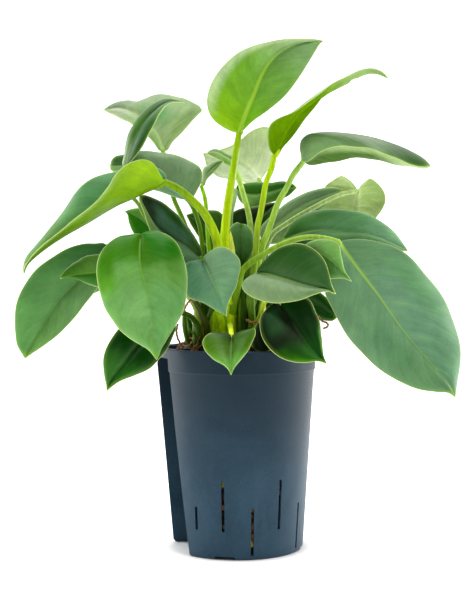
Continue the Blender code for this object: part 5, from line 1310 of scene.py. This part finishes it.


# ---------------------------------------------------------------- each leaf's colours
# leaf: colours as they show (0-255) at the base, middle and tip of the first half and of the other half; under face; stalk at the blade and at the foot;
# midrib width in mm with its clearness at the base and at the tip; more
# Many of these colours carry light and shade: painted sheen, painted reflection and painted shade on the faces, and
# stalk colours painted brighter than they show, a painted light that makes up for the shade the crown casts on them.
LOOKS = {
    # leaf_top: the first half's pale tip colour and its first band are painted sheen along the margin; the second band
    # is the leaf's own lime base
    "leaf_top": (((118, 168, 8), (106, 158, 48), (142, 168, 118)), ((102, 160, 30), (102, 148, 62), (118, 154, 98)), (135, 175, 70), (132, 168, 20), (208, 236, 18), (4.2, 1.0, 0.35), {"rim": 0.5, "vein": (162, 204, 66), "sheen_shade_and_tint_bands": ((-1, 0.8, 1.3, 0.2, 1.2, (184, 204, 158), 0.75), (-1, 0.5, 1.3, -0.3, 0.2, (136, 180, 0), 0.7))}),
    "leaf_upper_right": (((110, 150, 60), (140, 168, 108), (160, 180, 140)), ((110, 150, 60), (140, 168, 108), (150, 170, 130)), ((94, 132, 0), (104, 144, 8), (140, 166, 104)), (176, 208, 22), (112, 140, 58), (1.2, 0.35, 0.2), {"rim": 0.4, "shade": ((1, -0.3, 1.3, -0.3, 0.5, (88, 126, 0), 0.9),), "under_gloss": 0.0}),
    # leaf_right_upper: the grey-green of the upper face is painted sheen; on the under face the pale colours are
    # painted light on its lit strip, and the shade band is a painted shadow, the dark crescent under the near margin
    "leaf_right_upper": (((112, 144, 94), (90, 122, 72), (46, 82, 30)), ((104, 138, 86), (90, 122, 72), (58, 94, 42)), ((140, 168, 102), (156, 182, 122), (160, 186, 124)), (148, 184, 84), (176, 214, 66), (1.3, 0.4, 0.2), {"shade": ((0, 0.6, 1.3, -0.1, 0.7, (64, 98, 4), 1.0),), "gloss": 0.15}),
    "leaf_left_lime": (((80, 130, 84), (84, 132, 82), (86, 126, 60)), ((62, 118, 70), (78, 128, 78), (80, 124, 54)), ((136, 174, 30), (104, 144, 6), (86, 122, 14)), (112, 148, 10), (200, 232, 4), (1.4, 0.4, 0.2), {"rim": 0.6, "shade": ((0, -0.3, 0.34, 0.0, 1.2, (100, 144, 0), 0.6), (0, 0.9, 1.3, 0.3, 1.2, (176, 204, 120), 0.5))}),
    "leaf_left_blue": (((108, 138, 98), (112, 136, 104), (50, 84, 40)), ((110, 148, 118), (112, 142, 110), (92, 126, 70)), (90, 130, 70), (90, 128, 30), (54, 88, 16), (1.0, 0.2, 0.1), {}),
    "leaf_left_narrow": (((136, 160, 120), (64, 100, 44), (46, 80, 28)), ((24, 66, 14), (30, 70, 20), (52, 98, 26)), (110, 150, 70), (124, 158, 70), (110, 150, 60), (1.2, 0.5, 0.3), {}),
    # leaf_left_upper: the pale grey-green colours are painted sheen; the emerald band is the leaf's own colour where no
    # sheen is painted
    "leaf_left_upper": (((134, 156, 100), (134, 158, 110), (106, 124, 96)), ((120, 150, 92), (134, 162, 104), (156, 168, 140)), (110, 150, 90), (124, 160, 60), (92, 132, 4), (3.0, 0.5, 0.15), {"sheen_shade_and_tint_bands": ((-1, 0.15, 0.5, 0.36, 0.62, (76, 140, 80), 0.7),)}),
    # leaf_left_dark: both bands are painted sheen, bluish where they lie
    "leaf_left_dark": (((52, 86, 42), (34, 62, 26), (14, 42, 8)), ((96, 132, 98), (84, 120, 84), (106, 140, 74)), (60, 100, 50), (80, 130, 40), (56, 84, 6), (0.8, 0.2, 0.1), {"sheen_shade_and_tint_bands": ((-1, 0.1, 0.6, 0.3, 0.75, (74, 112, 92), 0.5), (-1, 0.35, 0.75, 0.62, 0.86, (80, 120, 96), 0.3))}),
    "leaf_center_heart": (((72, 116, 88), (84, 128, 96), (98, 142, 106)), ((120, 155, 118), (108, 148, 110), (98, 142, 104)), (80, 120, 60), (110, 150, 50), (190, 230, 2), (1.3, 0.6, 0.2), {"vein": (140, 178, 112)}),
    "leaf_center_small": (((90, 128, 80), (66, 104, 56), (26, 60, 14)), ((94, 134, 86), (72, 110, 62), (32, 68, 18)), (60, 100, 50), (70, 110, 40), (80, 120, 40), (0.9, 0.25, 0.1), {}),
    "leaf_rim_front": (((44, 66, 0), (72, 110, 32), (100, 156, 64)), ((42, 66, 2), (66, 106, 20), (94, 152, 60)), (90, 130, 60), (224, 246, 60), (120, 160, 50), (1.0, 0.15, 0.1), {"rim": 0.95}),
    # leaf_center_right: the first, lower half's grey-green is painted sheen; the other half keeps its dark green
    "leaf_center_right": (((120, 147, 106), (116, 143, 100), (104, 133, 90)), ((38, 69, 30), (46, 79, 40), (56, 91, 50)), (80, 120, 60), (120, 160, 60), (86, 124, 6), (1.7, 0.9, 0.45), {"vein": (128, 168, 84)}),
    # leaf_front_dark: the first band is a painted sheen
    "leaf_front_dark": (((10, 34, 2), (4, 36, 0), (40, 92, 14)), ((24, 56, 22), (14, 48, 4), (26, 68, 6)), (60, 100, 40), (230, 252, 84), (110, 150, 40), (1.2, 0.15, 0.05), {"sheen_shade_and_tint_bands": ((-1, 0.3, 0.8, 0.15, 0.45, (40, 78, 46), 0.6), (0, 0.72, 1.3, 0.62, 1.3, (64, 126, 30), 0.6)), "gloss": 0.2}),
    "leaf_big_right": (((94, 133, 94), (102, 141, 110), (94, 135, 102)), ((98, 137, 100), (100, 139, 102), (92, 131, 90)), (80, 120, 60), (176, 214, 92), (116, 156, 6), (2.2, 0.95, 0.25), {"vein": (150, 188, 84), "sheen_shade_and_tint_bands": ((1, 0.3, 0.8, 0.45, 0.75, (76, 124, 84), 0.45), (-1, 0.5, 1.3, 0.3, 0.55, (84, 140, 76), 0.4)), "veiny": 0.11}),
    "leaf_right_mid": (((56, 98, 44), (98, 150, 100), (130, 178, 136)), ((48, 82, 52), (112, 160, 110), (140, 190, 138)), (80, 120, 60), (120, 160, 60), (110, 150, 56), (1.5, 0.85, 0.2), {"vein": (140, 178, 96), "sheen_shade_and_tint_bands": ((-1, 0.35, 0.8, 0.2, 0.42, (52, 108, 20), 0.5),)}),
    "leaf_right_small": (((120, 162, 92), (112, 160, 84), (104, 156, 76)), ((60, 104, 40), (50, 96, 30), (86, 130, 74)), (90, 130, 60), (110, 150, 50), (100, 140, 50), (0.9, 0.2, 0.1), {}),
    "leaf_right_pale": (((110, 150, 90), (110, 150, 90), (110, 150, 90)), ((110, 150, 90), (110, 150, 90), (110, 150, 90)), ((206, 226, 158), (200, 220, 150), (192, 214, 142)), (172, 194, 128), (140, 168, 94), (1.5, 0.3, 0.1), {"veiny": 0.25, "shade": ((1, -0.3, 1.3, -0.3, 0.5, (134, 162, 84), 0.8),)}),
    "leaf_back_right_dark": (((126, 150, 116), (112, 138, 104), (104, 132, 96)), ((136, 160, 114), (120, 148, 100), (114, 142, 94)), (80, 120, 60), (100, 140, 50), (90, 130, 50), (1.0, 0.25, 0.1), {}),
    # leaf_back_pale: the pale under face is partly its own paler colour and partly painted light, the white sheen and
    # the glow through the blade; the near-white shade band is painted light
    "leaf_back_pale": (((150, 180, 120), (150, 180, 120), (150, 180, 120)), ((150, 180, 120), (150, 180, 120), (150, 180, 120)), ((222, 230, 196), (210, 222, 178), (198, 212, 160)), (165, 190, 110), (130, 170, 60), (1.6, 0.6, 0.4), {"veiny": 0.34, "shade": ((1, -0.3, 1.3, -0.1, 1.3, (246, 250, 230), 0.85),)}),
    "leaf_back_curled": (((92, 126, 50), (92, 126, 46), (92, 126, 46)), ((110, 150, 80), (92, 126, 46), (92, 126, 46)), (120, 150, 90), (176, 208, 96), (60, 94, 22), (1.0, 0.3, 0.1), {}),
    "leaf_back_small": (((196, 212, 180), (140, 166, 120), (116, 142, 92)), ((140, 165, 124), (104, 134, 84), (76, 108, 54)), (110, 140, 90), (146, 196, 6), (82, 120, 4), (1.0, 0.3, 0.1), {}),
    "leaf_back_dark": (((58, 104, 22), (46, 96, 14), (40, 88, 10)), ((132, 164, 98), (84, 126, 56), (60, 100, 36)), (80, 120, 50), (144, 168, 118), (90, 130, 50), (1.0, 0.2, 0.1), {}),
    # leaf_deep_dark: the near-black colours are painted deep shade inside the crown
    "leaf_deep_dark": (((40, 78, 2), (10, 34, 0), (8, 26, 0)), ((30, 62, 2), (28, 58, 10), (38, 68, 22)), (50, 90, 30), (66, 96, 8), (66, 96, 8), (0.8, 0.2, 0.1), {}),
    "leaf_between_stalks": (((36, 72, 6), (50, 84, 6), (66, 100, 8)), ((90, 130, 10), (60, 96, 10), (46, 80, 10)), (60, 100, 30), (70, 110, 20), (70, 110, 20), (0.8, 0.2, 0.1), {}),
    "leaf_left_small": (((118, 166, 88), (108, 156, 76), (112, 166, 76)), ((44, 112, 2), (48, 116, 4), (54, 122, 6)), (70, 120, 30), (100, 140, 40), (90, 130, 30), (0.8, 0.2, 0.1), {}),
    "leaf_big_left": (((62, 108, 62), (82, 130, 72), (92, 144, 78)), ((92, 128, 84), (92, 134, 78), (94, 140, 72)), (70, 110, 50), (60, 90, 20), (54, 76, 12), (1.2, 0.3, 0.15), {}),
    "leaf_left_folded": (((70, 106, 46), (84, 128, 52), (64, 112, 40)), ((88, 134, 74), (46, 98, 24), (42, 90, 14)), (70, 110, 50), (150, 180, 96), (186, 206, 84), (1.6, 0.8, 0.4), {}),
    # leaf_big_front: the dark saturated upper third and the paler lower part are a painted reflection, dark
    # surroundings above and the softbox below; the third band is painted sheen
    "leaf_big_front": (((62, 118, 8), (78, 134, 36), (100, 150, 78)), ((60, 110, 10), (96, 144, 68), (98, 150, 84)), (70, 120, 40), (60, 84, 16), (56, 66, 14), (1.2, 0.5, 0.12), {"places": (0.3, 0.44, 0.62), "sheen_shade_and_tint_bands": ((1, 0.3, 1.3, -0.3, 0.3, (34, 108, 0), 0.75), (-1, 0.4, 1.3, -0.3, 0.16, (52, 120, 6), 0.5), (-1, -0.3, 0.6, 0.3, 0.75, (132, 182, 116), 0.35))}),
    "leaf_bottom_left": (((16, 46, 6), (22, 62, 10), (54, 104, 44)), ((10, 42, 2), (20, 62, 6), (38, 90, 24)), (50, 90, 30), (60, 90, 20), (60, 90, 20), (1.0, 0.15, 0.1), {}),
    "leaf_low_right": (((20, 60, 14), (24, 66, 16), (24, 66, 16)), ((20, 60, 14), (24, 66, 16), (24, 66, 16)), (40, 80, 30), (60, 90, 20), (60, 90, 20), (0.8, 0.2, 0.1), {"veiny": 0.25}),
    "leaf_low_front": (((30, 52, 4), (16, 34, 2), (10, 22, 2)), ((30, 52, 4), (16, 34, 2), (10, 22, 2)), (50, 90, 30), (60, 90, 20), (60, 90, 20), (0.8, 0.2, 0.1), {}),
    "leaf_rear_hanging_left": (((16, 26, 2), (58, 98, 46), (80, 124, 66)), ((16, 26, 2), (58, 98, 46), (80, 124, 66)), (84, 124, 62), (80, 116, 30), (60, 90, 20), (1.2, 0.4, 0.15), {"places": (0.35, 0.6, 0.9)}),
    "leaf_rear_top": (((120, 165, 70), (116, 160, 70), (120, 160, 80)), ((110, 160, 60), (112, 160, 66), (116, 160, 76)), (130, 170, 70), (190, 214, 120), (150, 190, 50), (1.4, 0.6, 0.3), {}),
}
PLAIN = (((62, 106, 56), (70, 116, 62), (84, 130, 70)), ((56, 100, 50), (66, 112, 58), (80, 126, 66)), (88, 128, 66), (110, 150, 50), (100, 140, 50), (1.3, 0.5, 0.15), {})


def paler(c, by=44):
    return tuple(min(235, k + by) for k in c)


def make_leaves():
    lines, radii = stalk_lines(36)
    for k, row in enumerate(LEAVES):
        name = row[0]
        one, other, below, near, far, rib, more = LOOKS.get(name, PLAIN)
        more = dict(more)
        if isinstance(below[0], int):
            below = (below, below, below)
        verts, faces, slots, (vt, vs, vr, ve) = fine_leaf(row, lines[k], radii[k], k)
        mid = tuple((p + q) // 2 for p, q in zip(one[1], other[1]))
        vein = more.pop("vein", (min(235, mid[0] + 50), min(235, mid[1] + 46), min(200, mid[2] + 14)))
        # the shade bands go on the under face: painted shadow and painted light, such as a shadowed crescent and lit or
        # glowing strips
        shade = more.pop("shade", ())
        sheen = more.pop("under_gloss", 0.3)
        mats = [
            leaf_material(name + "_upper", one, other, vein, rib, 0.32, k, **more),
            leaf_material(name + "_under", below, below, paler(below[1], 26), (rib[0] * 1.2, rib[1] * 0.7, rib[2]), 0.44, k + 50, rim=more.get("rim", 0.6), under=True, gloss=sheen, veiny=more.get("veiny", 0.14), sheen_shade_and_tint_bands=shade),
            stalk_material(name + "_stalk", near, far),
        ]
        ob = piece(name + "_fine", verts, faces, slots, {"along": vt, "across": vs, "rib": vr, "edge": ve}, mats)
        show(ob, name)


# ---------------------------------------------------------------- studio
def area(name, place_at, size, watts, aim=(0, 0, 0.28), colour=(1, 1, 1)):
    lamp = bpy.data.lights.new(name, "AREA")
    lamp.shape = "RECTANGLE"
    lamp.size, lamp.size_y = size
    lamp.energy = watts
    lamp.color = colour
    ob = bpy.data.objects.new(name, lamp)
    ob.location = place_at
    ob.rotation_euler = (Vector(aim) - Vector(place_at)).to_track_quat("-Z", "Y").to_euler()
    bpy.context.scene.collection.objects.link(ob)
    ob.visible_camera = False
    return ob


def studio():
    look = bpy.context.scene.view_settings
    look.view_transform = "Standard"
    look.look = "None"
    # camera: looks along +Y, its height and distance as the drawing board's eye
    cam = bpy.data.cameras.new("camera")
    cam.sensor_fit = "AUTO"
    cam.sensor_width = 36.0
    cam.lens = 1248.0 / 600.0 * 36.0
    ob = bpy.data.objects.new("camera", cam)
    ob.location = (0, -EYE_DIST * MM, EYE_HEIGHT * MM)
    ob.rotation_euler = (math.radians(90), 0, 0)
    cam.shift_y = -(300.0 - EYE_ROW) / 600.0
    bpy.context.scene.collection.objects.link(ob)
    bpy.context.scene.camera = ob

    # floor: one wide pale sheet that sweeps up far behind
    bm = bmesh.new()
    profile = [(-4.0, 0.0), (3.0, 0.0)] + [(3.0 + 1.5 * math.sin(a), 1.5 - 1.5 * math.cos(a)) for a in np.linspace(0.1, math.pi / 2, 12)] + [(4.5, 4.0)]
    rows = [[bm.verts.new((x, y, z - 0.0002)) for x in (-5.0, 5.0)] for y, z in profile]
    for a, b in zip(rows, rows[1:]):
        bm.faces.new((a[0], a[1], b[1], b[0]))
    mesh = bpy.data.meshes.new("studio_floor")
    bm.to_mesh(mesh)
    bm.free()
    mesh.shade_smooth()
    floor = bpy.data.objects.new("studio_floor", mesh)
    bpy.context.scene.collection.objects.link(floor)
    m = Nodes("floor_paper")
    m.link(m.mix(m.ramp(m.noise(3.0, 2.0), 0.3, 0.7), (0.86, 0.86, 0.86, 1), (0.88, 0.88, 0.88, 1)), m.shader.inputs["Base Color"])
    m.link(m.ramp(m.noise(40.0, 2.0), 0.3, 0.7, 0.93, 0.97), m.shader.inputs["Roughness"])
    m.shader.inputs["Specular IOR Level"].default_value = 0.2
    away = m.new("ShaderNodeVectorMath", operation="LENGTH")
    m.link(m.coords(), away.inputs[0])
    # the paper glows white by emission, more so further out, a painted light that no lamp gives; the glow stops under
    # the pot's foot, which paints a contact shadow there
    m.shader.inputs["Emission Color"].default_value = (1, 1, 1, 1)
    m.link(m.math("MULTIPLY", m.ramp(away.outputs["Value"], 0.05, 0.6, 0.42, 0.9), m.ramp(away.outputs["Value"], 0.058, 0.075)), m.shader.inputs["Emission Strength"])
    mesh.materials.append(m.mat)
    floor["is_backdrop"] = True

    world = bpy.data.worlds.new("studio")
    bpy.context.scene.world = world
    world.use_nodes = True
    tree = world.node_tree
    back = tree.nodes["Background"]
    coords = tree.nodes.new("ShaderNodeTexCoord")
    split = tree.nodes.new("ShaderNodeSeparateXYZ")
    tree.links.new(coords.outputs["Generated"], split.inputs[0])
    ramp = tree.nodes.new("ShaderNodeMapRange")
    ramp.interpolation_type = "SMOOTHSTEP"
    ramp.inputs["From Min"].default_value = -0.6
    ramp.inputs["From Max"].default_value = 0.9
    ramp.inputs["To Min"].default_value = 0.08
    ramp.inputs["To Max"].default_value = 1.0
    tree.links.new(split.outputs["Y"], ramp.inputs["Value"])
    path = tree.nodes.new("ShaderNodeLightPath")
    pick = tree.nodes.new("ShaderNodeMix")
    tree.links.new(path.outputs["Is Camera Ray"], pick.inputs["Factor"])
    tree.links.new(ramp.outputs["Result"], pick.inputs["A"])
    pick.inputs["B"].default_value = 1.0
    tree.links.new(pick.outputs["Result"], back.inputs["Strength"])
    back.inputs["Color"].default_value = (1, 1, 1, 1)

    area("top_box", (-0.15, -0.25, 1.8), (1.5, 1.1), 19)
    area("left_box", (-1.5, 0.30, 0.6), (1.0, 1.4), 20)
    area("right_box", (1.5, 0.30, 0.6), (1.0, 1.4), 20)
    area("left_fill", (-1.1, -1.0, 0.35), (0.5, 1.0), 2)
    area("front_fill", (0.3, -2.2, 1.6), (1.6, 1.0), 7)
    area("floor_light", (0, 1.0, 1.9), (3.0, 2.0), 26, aim=(0, 0.9, 0))


def save_box(name, low_high, store):
    store[name] = [[float(x) for x in corner] for corner in low_high]


boxes = {}
save_box("cad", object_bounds(), boxes)
make_pot()
make_substrate()
make_stems()
make_leaves()
studio()
save_box("visual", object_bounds(), boxes)
